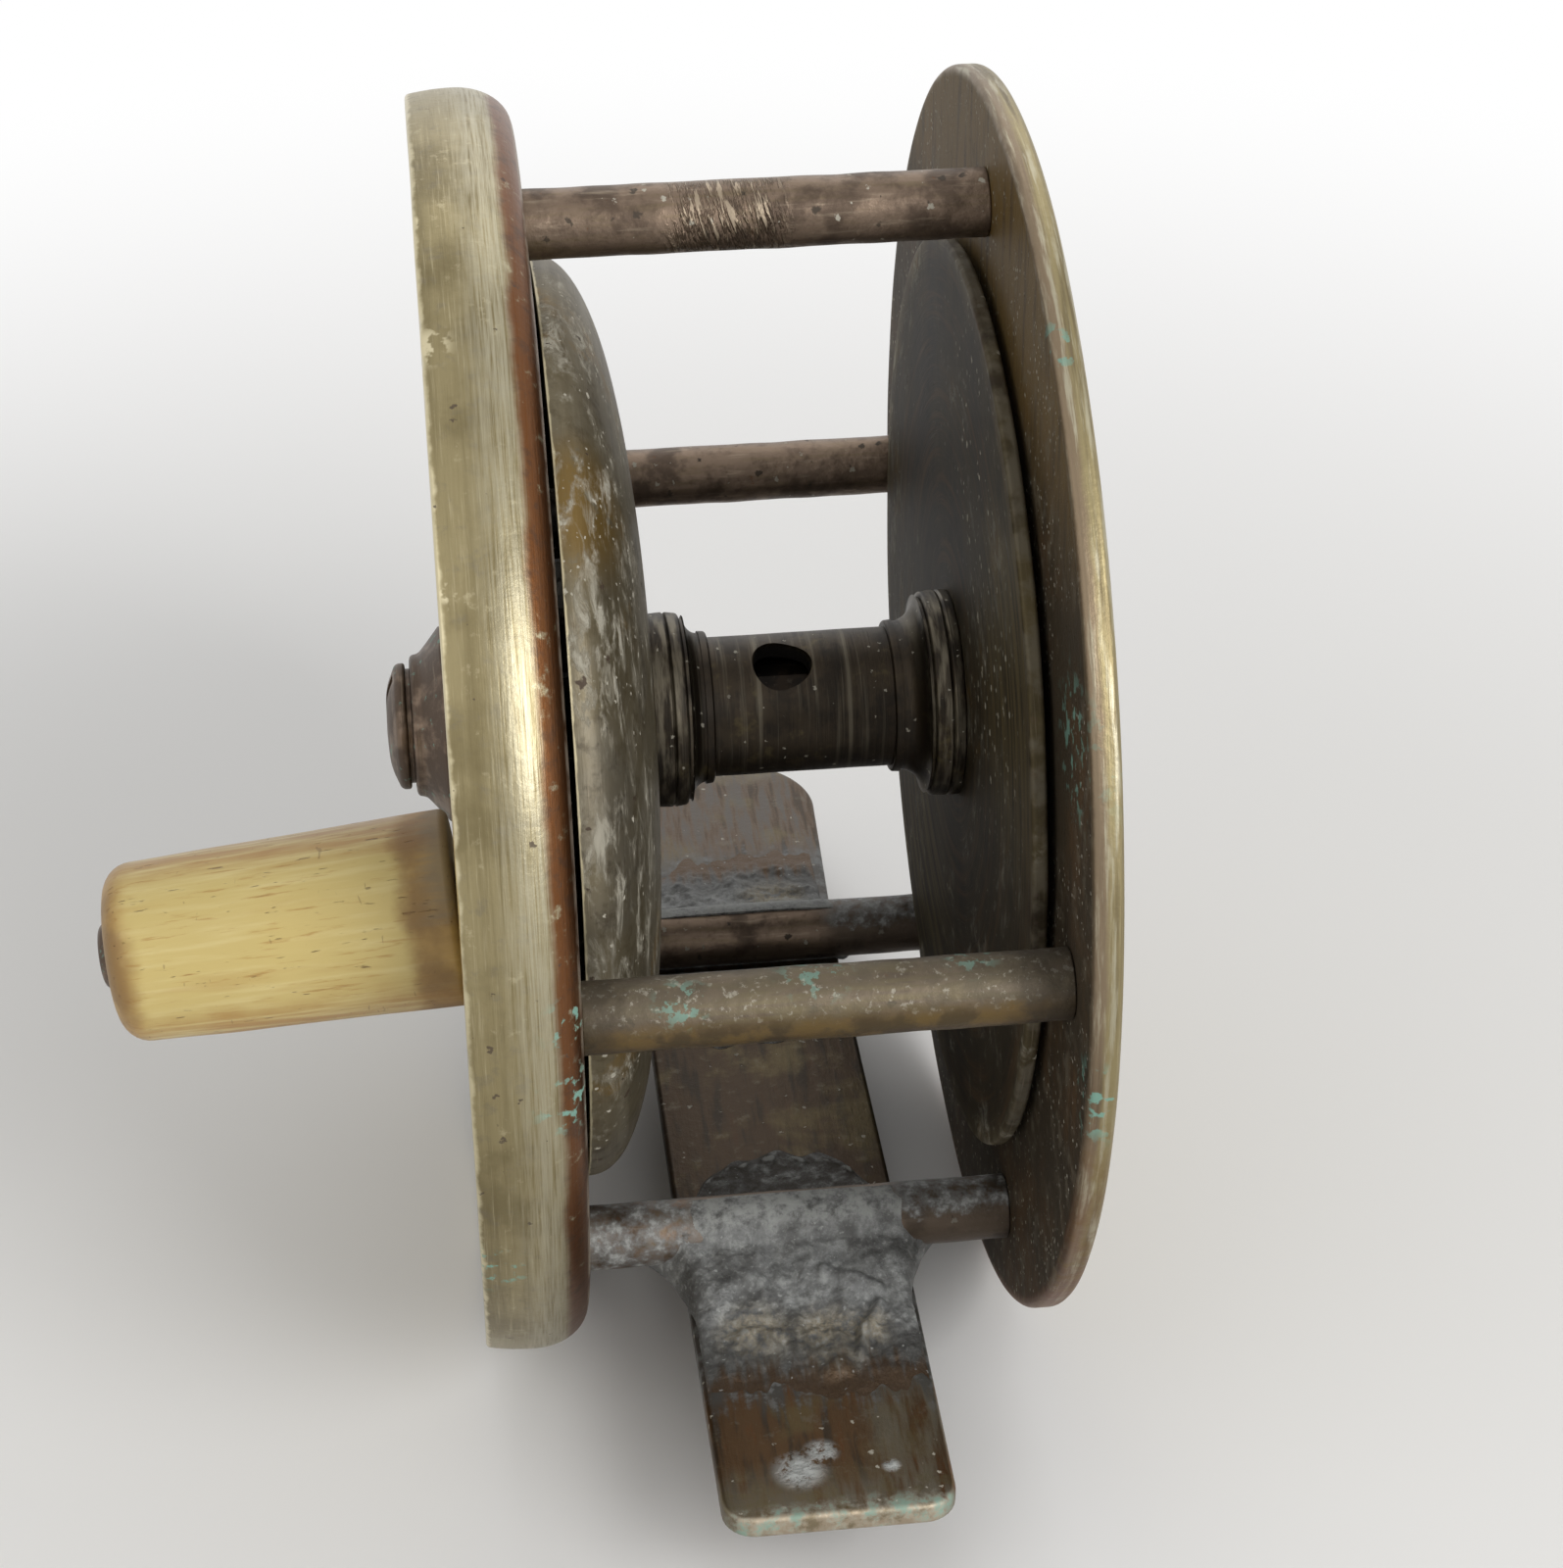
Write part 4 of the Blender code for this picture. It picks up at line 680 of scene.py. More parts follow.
def foot_finish(colours):
    """Brown blade: grey where the solder ran, a white patch, and bright filed ends."""
    coat = Finish("foot_brass", colours.foot_brown, 0.4, 0.75)
    near_end = FOOT_LOW.y / MM
    far_end = FOOT_HIGH.y / MM
    drawn = coat.noise(1.0, 5.0, coat.vector(coat.x * 1.7, coat.y * 0.2, coat.z))
    clouds = coat.clouds(0.22)
    mottle = coat.mottle(0.9)
    coat.skin(coat.spread(drawn, 0.48, 0.66) * 0.8, colours.dark_tarnish_and_shade, 0.5, 0.65)
    coat.skin(coat.spread(drawn, 0.42, 0.28) * 0.3, colours.shoulder_red, 0.42, 0.78)
    # Painted shade: the blade between the pillars, under the spool, is laid darker.
    shaded_under_spool = coat.spread((coat.y * coat.y) ** 0.5 + clouds * 4.0, 17.0, 13.0)
    coat.skin(shaded_under_spool * 0.6, colours.dark_tarnish_and_shade, 0.5, 0.65)
    coat.skin(coat.spread(clouds, 0.5, 0.66) * 0.55, colours.gold_dark, 0.42, 0.85)
    coat.skin(coat.spread(mottle, 0.56, 0.7) * 0.4, colours.tarnish, 0.5, 0.7)
    olive = coat.spread(coat.x + clouds * 4.0, 3.4, 6.4) * coat.spread(coat.y, -20.0, -26.0)
    coat.skin(olive * coat.spread(drawn, 0.3, 0.6) * 0.75, colours.tarnish, 0.5, 0.7)
    ends = coat.spread(coat.y + clouds * 6.0, near_end + 7.4, near_end + 4.4)
    ends = ends | coat.spread(coat.y - clouds * 5.0, far_end - 6.0, far_end - 4.0)
    coat.skin(ends * coat.spread(drawn, 0.3, 0.55) * 0.7, colours.tarnish, 0.44, 0.8)
    coat.skin(ends * coat.spread(mottle, 0.45, 0.6) * 0.5, colours.gold_dark, 0.42, 0.85)
    far = coat.spread(coat.y + clouds * 4.0, 25.0, 30.0)
    coat.skin(far * coat.spread(drawn, 0.62, 0.38) * 0.75, colours.solder_dark, 0.42, 0.7)
    shore = drawn * 9.0 + mottle * 2.0
    tinned = coat.spread(coat.y + shore, -25.6, -22.4) * coat.spread(coat.y, -15.0, -17.0)
    tinned = tinned | coat.spread(coat.y - shore, 25.6, 22.4) * coat.spread(coat.y, 15.0, 17.0)
    coat.skin(tinned * 0.85, colours.solder_dark, 0.55, 0.55)
    coat.skin(tinned * coat.spread(mottle, 0.46, 0.6) * 0.7, colours.solder, 0.6, 0.45)
    patch = coat.spots(((-2.0, -35.8, 1.4), 2.0), ((-0.6, -34.4, 1.4), 1.3), ((3.3, -36.0, 1.4), 0.7))
    daub = coat.noise(0.9, 6.0, rough=0.68)
    coat.skin(patch * coat.spread(daub, 0.4, 0.5), colours.solder_bloom, 0.75, 0.1)
    filed = coat.spread(coat.y + mottle * 0.5, near_end + 0.72, near_end + 0.4)
    filed = filed | coat.spread(coat.y, far_end - 0.75, far_end - 0.35)
    coat.skin(filed * 0.8, colours.bronze_pale, 0.4, 0.9)
    coat.skin(filed * coat.spread(mottle, 0.48, 0.62) * 0.6, colours.gold_dark, 0.45, 0.85)
    salts = coat.spread(coat.y + clouds * 2.0, near_end + 2.6, near_end + 1.4)
    crystals = coat.noise(0.7, 7.0, rough=0.7)
    coat.skin(salts * coat.spread(crystals, 0.4, 0.58) * 0.5, colours.residue, 0.7, 0.2)
    coat.skin(salts * coat.spread(crystals, 0.5, 0.62) * 0.6, colours.verdigris, *SALTS)
    coat.skin(coat.specks(1.1, 0.18, 0.35) * 0.8, colours.residue, *CRUST)
    coat.raise_by(drawn * 0.03)
    coat.raise_by(mottle * 0.05)
    coat.raise_by(patch * coat.spread(daub, 0.45, 0.6) * 0.12)
    return coat.done()


def solder_finish(colours):
    """Dull lead solder: white along the pillar, dark in its hollows, beige on lumps, brown at its shore."""
    coat = Finish("lead_solder", colours.solder, 0.56, 0.4)
    grain = coat.noise(1.1, 7.0, rough=0.7)
    clouds = coat.noise(0.24, 5.0, rough=0.6)
    dust = coat.noise(4.0, 4.0, rough=0.65)
    away = (coat.y * coat.y) ** 0.5
    coat.skin(coat.spread(clouds, 0.56, 0.36) * 0.65, colours.solder_dark, 0.6, 0.35)
    coat.skin(coat.spread(grain, 0.46, 0.28) * 0.6, colours.solder_dark, 0.65, 0.2)
    bloom = coat.spread(grain, 0.44, 0.68) * coat.spread(clouds, 0.34, 0.56)
    coat.skin(bloom * 0.7, colours.solder_bloom, *BLOOM)
    coat.skin(coat.spread(dust, 0.52, 0.72) * 0.45, colours.solder_bloom, *BLOOM)
    crest = coat.spread(coat.z, 4.4, 5.5) * coat.spread(away, 15.2, 16.0)
    coat.skin(crest * coat.spread(grain, 0.36, 0.6) * 0.75, colours.solder_bloom, *BLOOM)
    lumps = coat.spots(
        ((-3.3, -24.3, 1.8), 3.2),
        ((1.1, -24.6, 1.8), 3.0),
        ((3.3, -24.6, 2.0), 2.4),
        ((1.3, -26.8, 1.7), 2.4),
        ((3.2, 24.0, 1.8), 3.0),
    )
    coat.skin(lumps * coat.spread(grain, 0.38, 0.56) * 0.7, colours.solder_earth, *BLOOM)
    coat.skin(lumps * coat.spread(grain, 0.5, 0.66) * 0.8, colours.solder_bloom, *BLOOM)
    drawn = coat.noise(1.0, 4.0, coat.vector(coat.x * 1.8, coat.y * 0.25, 0.0))
    coat.skin(coat.spread(away + drawn * 4.0, 25.6, 27.6) * 0.6, colours.solder_dark, 0.55, 0.5)
    coat.skin(coat.spread(away + drawn * 6.0, 29.2, 31.4) * 0.85, colours.foot_brown, 0.45, 0.7)
    # Painted shade: the film under the spool is laid dark brown through its grain.
    shaded_under_spool = coat.spread(away + grain * 1.5, 15.2, 13.6)
    coat.skin(shaded_under_spool * coat.spread(grain, 0.72, 0.4) * 0.85, colours.dark_tarnish_and_shade, 0.55, 0.5)
    top = FOOT_HIGH.z / MM
    coat.skin(shaded_under_spool * coat.spread(coat.z, top + 0.16, top + 0.28) * 0.8, colours.solder_bloom, *BLOOM)
    coat.skin(coat.specks(1.6, 0.2, 0.35) * 0.7, colours.solder_bloom, *BLOOM)
    coat.raise_by(grain * 0.16)
    coat.raise_by(dust * 0.05)
    return coat.done()


def bone_finish(colours):
    """Yellowed bone: fibres and dark pores along the knob, painted shade in orange-brown on its top and
    bottom as seen from the camera, a painted shadow at its base, and stains at its tip.
    """
    coat = Finish("old_bone", colours.bone, 0.34, 0.0)
    reach = coat.radius()
    fibres = coat.streaks(coat.x, 0.14, 2.0, 5.0)
    streaks = coat.streaks(coat.x, 0.06, 0.5)
    clouds = coat.noise(0.25, 5.0)
    coat.skin(coat.spread(fibres, 0.44, 0.72) * 0.5, colours.bone_pale, 0.36)
    coat.skin(coat.spread(streaks, 0.46, 0.3) * 0.3, colours.bone_warm, 0.38)
    # Painted shade: orange-brown on the knob's top and bottom as seen from the camera.
    across = coat.y * 0.52 + coat.z * 0.85
    shaded_sides = coat.spread((across * across) ** 0.5 + clouds * 2.0, 4.0, 5.8)
    coat.skin(shaded_sides * coat.spread(fibres, 0.76, 0.36) * 0.95, colours.bone_warm, 0.36)
    dashes = coat.streaks(coat.x, 0.3, 3.4, 4.0, 0.6)
    coat.skin(coat.spread(dashes, 0.57, 0.69) * 0.6, colours.bone_warm, 0.4)
    coat.skin(coat.spread(dashes, 0.67, 0.74) * 0.5, colours.bone_dark, 0.45)
    pores = coat.streaks(coat.x, 0.7, 5.0, 2.0)
    coat.skin(coat.spread(pores, 0.69, 0.74) * 0.7, colours.bone_dark, 0.5)
    # Painted shadow: the knob darkens to brown near its base, where the plate's rim shades it.
    base = coat.spread(coat.x + clouds * 2.4, -3.2, -1.8)
    coat.skin(base * 0.7, colours.bone_warm, 0.5)
    coat.skin(base * coat.spread(clouds, 0.3, 0.6) * 0.6, colours.bone_dark, 0.5)
    dusty = base * coat.spread(coat.z + fibres * 4.0, 3.6, 5.8)
    dusty = dusty * coat.spread(coat.x + fibres * 2.0, -2.2, -0.8)
    coat.skin(dusty * 0.6, colours.tarnish, 0.6)
    tip = coat.spread(coat.x - clouds * 1.6, -18.6, -20.2) * coat.spread(reach, 1.8, 4.0)
    coat.skin(tip * 0.8, colours.bone_warm, 0.42)
    coat.skin(tip * coat.spread(clouds, 0.4, 0.6) * 0.5, colours.bone_dark, 0.45)
    checks = coat.streaks(coat.x, 2.2, 0.8, 2.0, 0.5, 0.6)
    coat.skin(coat.spread(checks, 0.71, 0.75) * 0.4, colours.bone_dark, 0.5)
    coat.raise_by(fibres * 0.03)
    coat.raise_by(coat.spread(pores, 0.67, 0.75) * -0.05)
    return coat.done()


def steel_finish(colours, name, base, rust):
    """Old steel with a share of brown rust in patches."""
    coat = Finish(name, base, 0.38, 0.9)
    clouds = coat.noise(0.5, 5.0, rough=0.62)
    coat.skin(coat.spread(clouds, 0.48, 0.64) * rust, colours.foot_brown, 0.6, 0.4)
    coat.skin(coat.spread(coat.noise(2.5, 3.0), 0.58, 0.7) * 0.6, colours.dark_tarnish_and_shade, 0.55, 0.6)
    coat.raise_by(clouds * 0.03)
    return coat.done()


def rounded(corners, steps=8):
    """An outline from (x, radius) corners, or (x, radius, rounding) for a corner turned to an arc."""
    points = []
    for index, corner in enumerate(corners):
        here = Vector(corner[:2])
        if len(corner) == 2:
            points.append(here)
            continue
        before = Vector(corners[index - 1][:2]) - here
        after = Vector(corners[(index + 1) % len(corners)][:2]) - here
        size = min(corner[2], before.length * 0.48, after.length * 0.48)
        weight = math.sin(before.angle(after) / 2)
        start = here + before.normalized() * size
        end = here + after.normalized() * size
        for step in range(steps + 1):
            share = step / steps
            pulls = ((1 - share) ** 2, 2 * share * (1 - share) * weight, share ** 2)
            points.append((start * pulls[0] + here * pulls[1] + end * pulls[2]) / sum(pulls))
    return points


def refined(points, step):
    """The outline with no stretch longer than a step."""
    fine = []
    for here, there in zip(points, points[1:] + points[:1]):
        parts = max(1, math.ceil((there - here).length / step))
        fine += [here.lerp(there, part / parts) for part in range(parts)]
    return fine


def smooth(mesh, sharp=SHARP_DEGREES):
    """Shade a mesh smooth, apart from its sharp edges."""
    mesh.shade_smooth()
    mesh.set_sharp_from_angle(angle=math.radians(sharp))


def shaded(name, form, place=(0.0, 0.0, 0.0), sharp=SHARP_DEGREES):
    """A smooth shaded object from a bmesh, which is used up."""
    bmesh.ops.remove_doubles(form, verts=form.verts, dist=WELD)
    bmesh.ops.recalc_face_normals(form, faces=form.faces)
    mesh = bpy.data.meshes.new(name)
    form.to_mesh(mesh)
    form.free()
    smooth(mesh, sharp)
    piece = bpy.data.objects.new(name, mesh)
    piece.location = place
    bpy.context.scene.collection.objects.link(piece)
    return piece


def lathe(name, corners, segments, place, step=None, dent=None):
    """A turned piece round its own X axis. A dent moves each point: it takes and gives back a Vector."""
    points = rounded(corners)
    points = refined(points, step) if step else points
    form = bmesh.new()
    rings = []
    for x, reach in points:
        if reach < SLIVER / 10:
            rings.append([form.verts.new((x, 0.0, 0.0))] * segments)
            continue
        turns = (2 * math.pi * turn / segments for turn in range(segments))
        rings.append([form.verts.new((x, reach * math.sin(turn), reach * math.cos(turn))) for turn in turns])
    closed = corners[0][1] > SLIVER or corners[-1][1] > SLIVER
    pairs = list(zip(rings, rings[1:] + rings[:1])) if closed else list(zip(rings, rings[1:]))
    for ring, following in pairs:
        for turn in range(segments):
            nearby = (turn + 1) % segments
            loop = [ring[turn], ring[nearby], following[nearby], following[turn]]
            loop = [vert for index, vert in enumerate(loop) if vert not in loop[:index]]
            if len(loop) > 2:
                form.faces.new(loop)
    if dent:
        for vert in form.verts:
            vert.co = dent(vert.co)
    return shaded(name, form, place)


def sweep(start, end, steps=12):
    """A quarter curve of (x, radius) points: it leaves its start across the axis and ends along it."""
    turns = [math.pi / 2 * step / steps for step in range(steps + 1)]
    run, drop = end[0] - start[0], end[1] - start[1]
    return [(start[0] + run * (1 - math.cos(turn)), start[1] + drop * math.sin(turn)) for turn in turns]


def carve(piece, cutter):
    """Cut a piece with a closed body, which is used up."""
    modifier = piece.modifiers.new("Cut", "BOOLEAN")
    modifier.operation = "DIFFERENCE"
    modifier.solver = "EXACT"
    modifier.object = cutter
    bpy.context.view_layer.update()
    cut = bpy.data.meshes.new_from_object(piece.evaluated_get(bpy.context.evaluated_depsgraph_get()))
    piece.modifiers.clear()
    piece.data = cut
    bpy.data.objects.remove(cutter, do_unlink=True)
    smooth(cut)


def box_body(low, high):
    """A closed box between two corners, to cut with."""
    form = bmesh.new()
    bmesh.ops.create_cube(form, size=1.0)
    middle = (Vector(low) + Vector(high)) / 2
    for vert in form.verts:
        vert.co = middle + Vector(v * (h - l) for v, l, h in zip(vert.co, low, high))
    return shaded("cutter", form)


def dress(piece, material, body, slot, *nodes):
    """Give a piece its finish, its body and the solids that it stands for; the slot is not used."""
    piece.data.materials.clear()
    piece.data.materials.append(material)
    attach(piece, body)
    if nodes:
        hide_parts(*nodes)
    return piece


def dress_solid(node, material, edge=0.12 * MM):
    """Finish a solid that keeps its own shape, with its edges broken."""
    piece = frame["nodes"][node]
    piece.data.materials.clear()
    piece.data.materials.append(material)
    bevel = piece.modifiers.new("Edge", "BEVEL")
    bevel.width = edge
    bevel.segments = 2
    bevel.limit_method = "ANGLE"
    bevel.angle_limit = math.radians(BROKEN_DEGREES)
    piece.modifiers.new("Normals", "WEIGHTED_NORMAL").keep_sharp = True


def wavy(amount, size):
    """A dent that pushes points by soft noise of a given size."""

    def dent(point):
        return point + noise.noise_vector(point / size) * amount

    return dent


def axis_of(node):
    """Where the axis of a solid that lies along X passes, as a point at x = 0."""
    low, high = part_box(node)
    return Vector((0.0, (low.y + high.y) / 2, (low.z + high.z) / 2))


def half_height(node):
    """Half of a solid's height: the radius of a turned one that lies along X."""
    low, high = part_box(node)
    return (high.z - low.z) / 2


def looked_at(tree):
    """1 on the rays of the camera, of reflections and of what is seen through a piece."""
    camera, glossy, through = (
        tree.node("ShaderNodeLightPath", output=ray)
        for ray in ("Is Camera Ray", "Is Glossy Ray", "Is Transmission Ray")
    )
    return camera | glossy | through


class REEL_OT_stage(bpy.types.Operator):
    """Set the pale floor, the soft lamps, the white surroundings and the camera"""

    bl_idname = "reel.stage"
    bl_label = "Stage"

    def execute(self, context):
        stage = context.scene.reel_stage
        self.floor(stage.floor)
        self.lamp(context, "key_lamp", stage.key_power, 0.36, (0.36, -0.48, 0.35))
        self.lamp(context, "fill_lamp", stage.fill_power, 0.6, (-0.50, -0.34, 0.42))
        self.lamp(context, "back_lamp", stage.fill_power, 0.5, (0.10, 0.50, 0.50))
        self.surroundings(context, stage.sky)
        context.scene.view_settings.view_transform = "Standard"
        camera = bpy.data.cameras.new("camera")
        camera.lens = stage.lens
        camera.sensor_width = 36.0
        camera.sensor_fit = "HORIZONTAL"
        camera.clip_start = 0.01
        camera.clip_end = 20.0
        holder = bpy.data.objects.new("camera", camera)
        holder.location = stage.spot
        holder.rotation_euler = stage.aim
        context.scene.collection.objects.link(holder)
        context.scene.camera = holder
        return {"FINISHED"}

    def floor(self, tint):
        """A pale floor that keeps the reel's shadow and runs out to white far from it."""
        form = bmesh.new()
        bmesh.ops.create_grid(form, x_segments=1, y_segments=1, size=3.0)
        floor = shaded("floor", form, (0.0, 0.0, CAD_BOX[0].z - SLIVER))
        paint = Finish("pale_floor", tint, 0.85, 0.0)
        floor.data.materials.append(paint.done())
        pale_to, white_from = 70.0, 230.0
        out = paint.spread((paint.x * paint.x + paint.y * paint.y) ** 0.5, pale_to, white_from)
        white = paint.node("ShaderNodeEmission", None, {"Color": (1.0, 1.0, 1.0), "Strength": 1.0})
        pale = Wire(paint, paint.shader.outputs[0])
        mixed = paint.node("ShaderNodeMixShader", None, {0: out * looked_at(paint), 1: pale, 2: white})
        paint.feed(paint.nodes.nodes["Material Output"].inputs["Surface"], mixed)

    def lamp(self, context, name, power, size, place):
        """A soft square lamp that faces the reel."""
        light = bpy.data.lights.new(name, "AREA")
        light.energy = power
        light.size = size
        holder = bpy.data.objects.new(name, light)
        holder.location = place
        holder.rotation_euler = (Vector(place) - REEL_AXIS).to_track_quat("Z", "Y").to_euler()
        context.scene.collection.objects.link(holder)

    def surroundings(self, context, sky):
        """White where it is looked at, and a softer even light elsewhere."""
        world = bpy.data.worlds.new("studio")
        world.use_nodes = True
        context.scene.world = world
        tree = Tree(world.node_tree)
        backdrop = world.node_tree.nodes["Background"]
        backdrop.inputs["Color"].default_value = (1.0, 1.0, 1.0, 1.0)
        tree.feed(backdrop.inputs["Strength"], looked_at(tree) * (1 - sky) + sky)


class REEL_OT_plates(bpy.types.Operator):
    """Make the pressed dish and the flat back plate"""

    bl_idname = "reel.plates"
    bl_label = "Plates"

    def execute(self, context):
        sizes = context.scene.reel_sizes
        colours = context.scene.reel_colours
        bore = 4.0 * MM
        self.dish(sizes, dish_finish(colours), bore)
        inner, outer = REAR_LOW.x, REAR_HIGH.x
        edge = REAR_HIGH.z - AXIS_Z
        corners = [
            (inner, bore),
            (inner, edge, sizes.rear_edge),
            (outer, edge, sizes.rear_edge),
            (outer, bore),
        ]
        dents = wavy(sizes.sheet_wave, 8 * MM)
        rear = lathe("rear_plate", corners, DISC_SEGMENTS, REEL_AXIS, 0.8 * MM, dents)
        dress(rear, rear_finish(colours), "frame", "plate_brass", "back_plate")
        return {"FINISHED"}

    def dish(self, sizes, material, bore):
        """The dish: flat towards the spool, with a round shoulder and a wall that draws in to its rim."""
        edge = DISH_HIGH.z - AXIS_Z
        rim, face = DISH_LOW.x, DISH_HIGH.x
        wall = edge - sizes.dish_sheet
        floor = face - sizes.dish_sheet
        brow = face - sizes.dish_run
        shoulder = sweep((face, edge - sizes.dish_drop), (brow, edge))
        shares = [step / 6 for step in range(1, 6)]
        corners = [
            (face, bore),
            *shoulder,
            *((brow + (rim - brow) * share, edge - sizes.dish_taper * share * share) for share in shares),
            (rim, edge - sizes.dish_taper, sizes.dish_edge),
            (rim, wall, sizes.dish_edge),
            (floor, wall, 1.2 * MM),
            (floor, bore),
        ]
        soft = wavy(sizes.sheet_wave, 9 * MM)

        def worn(point):
            """Soft dents all over, and nicks along the rim's outer edge."""
            reach = math.hypot(point.y, point.z)
            at_edge = max(0.0, 1 - (point.x - rim) / (0.7 * MM)) * (reach > wall + sizes.dish_sheet / 2)
            bite = max(0.0, noise.noise(Vector((0.0, point.y, point.z)) / (1.6 * MM)) - 0.2)
            inward = Vector((0.6, -point.y / reach, -point.z / reach))
            return soft(point) + inward * bite * at_edge * sizes.edge_nick * 2

        dish = lathe("dish", corners, DISC_SEGMENTS, REEL_AXIS, 0.6 * MM, worn)
        dress(dish, material, "frame", "dish_brass", "front_plate")


class REEL_OT_pillars(bpy.types.Operator):
    """Make the five pillars, riveted at the dish and screwed at the back plate"""

    bl_idname = "reel.pillars"
    bl_label = "Pillars"

    def execute(self, context):
        sizes = context.scene.reel_sizes
        colours = context.scene.reel_colours
        screws = boss_finish(colours)
        for name in PILLARS:
            self.rod(name, sizes, pillar_finish(colours, name))
            self.bolt(name, screws)
        return {"FINISHED"}

    def rod(self, name, sizes, material):
        """A pillar with its end upset in the dish."""
        face, inner = DISH_HIGH.x, REAR_LOW.x
        head = half_height(name)
        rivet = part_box(name)[0].x
        floor = face - sizes.dish_sheet
        body = sizes.pillar_radius
        corners = [
            (rivet, 0.0),
            (rivet, head, 0.7 * MM),
            (floor - SLIVER, head),
            (floor - SLIVER, head * 0.6),
            (face + SLIVER, head * 0.6),
            (face + SLIVER, body, 0.12 * MM),
            (inner - SLIVER, body, 0.12 * MM),
            (inner - SLIVER, 0.0),
        ]
        dents = wavy(sizes.pillar_dent, 2.2 * MM)
        rod = lathe(f"{name}_rod", corners, ROD_SEGMENTS, axis_of(name), 0.4 * MM, dents)
        dress(rod, material, "frame", "pillar_bronze", name)

    def bolt(self, name, material):
        """The slotted screw at a pillar's other end."""
        node = f"{name}_screw"
        low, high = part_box(node)
        head = half_height(node)
        seat = REAR_HIGH.x + SLIVER
        corners = [
            (high.x, 0.0),
            (high.x, head, 0.3 * MM),
            (seat, head, 0.08 * MM),
            (seat, head * 0.4),
            (low.x, head * 0.4),
            (low.x, 0.0),
        ]
        screw = lathe(f"{name}_bolt", corners, ROD_SEGMENTS // 2, axis_of(node))
        middle = axis_of(node) + Vector((high.x, 0.0, 0.0))
        slot = Vector((0.3, 4.0, 0.35)) * MM
        carve(screw, box_body(middle - slot, middle + slot))
        dress(screw, material, "frame", "pillar_bronze", node)


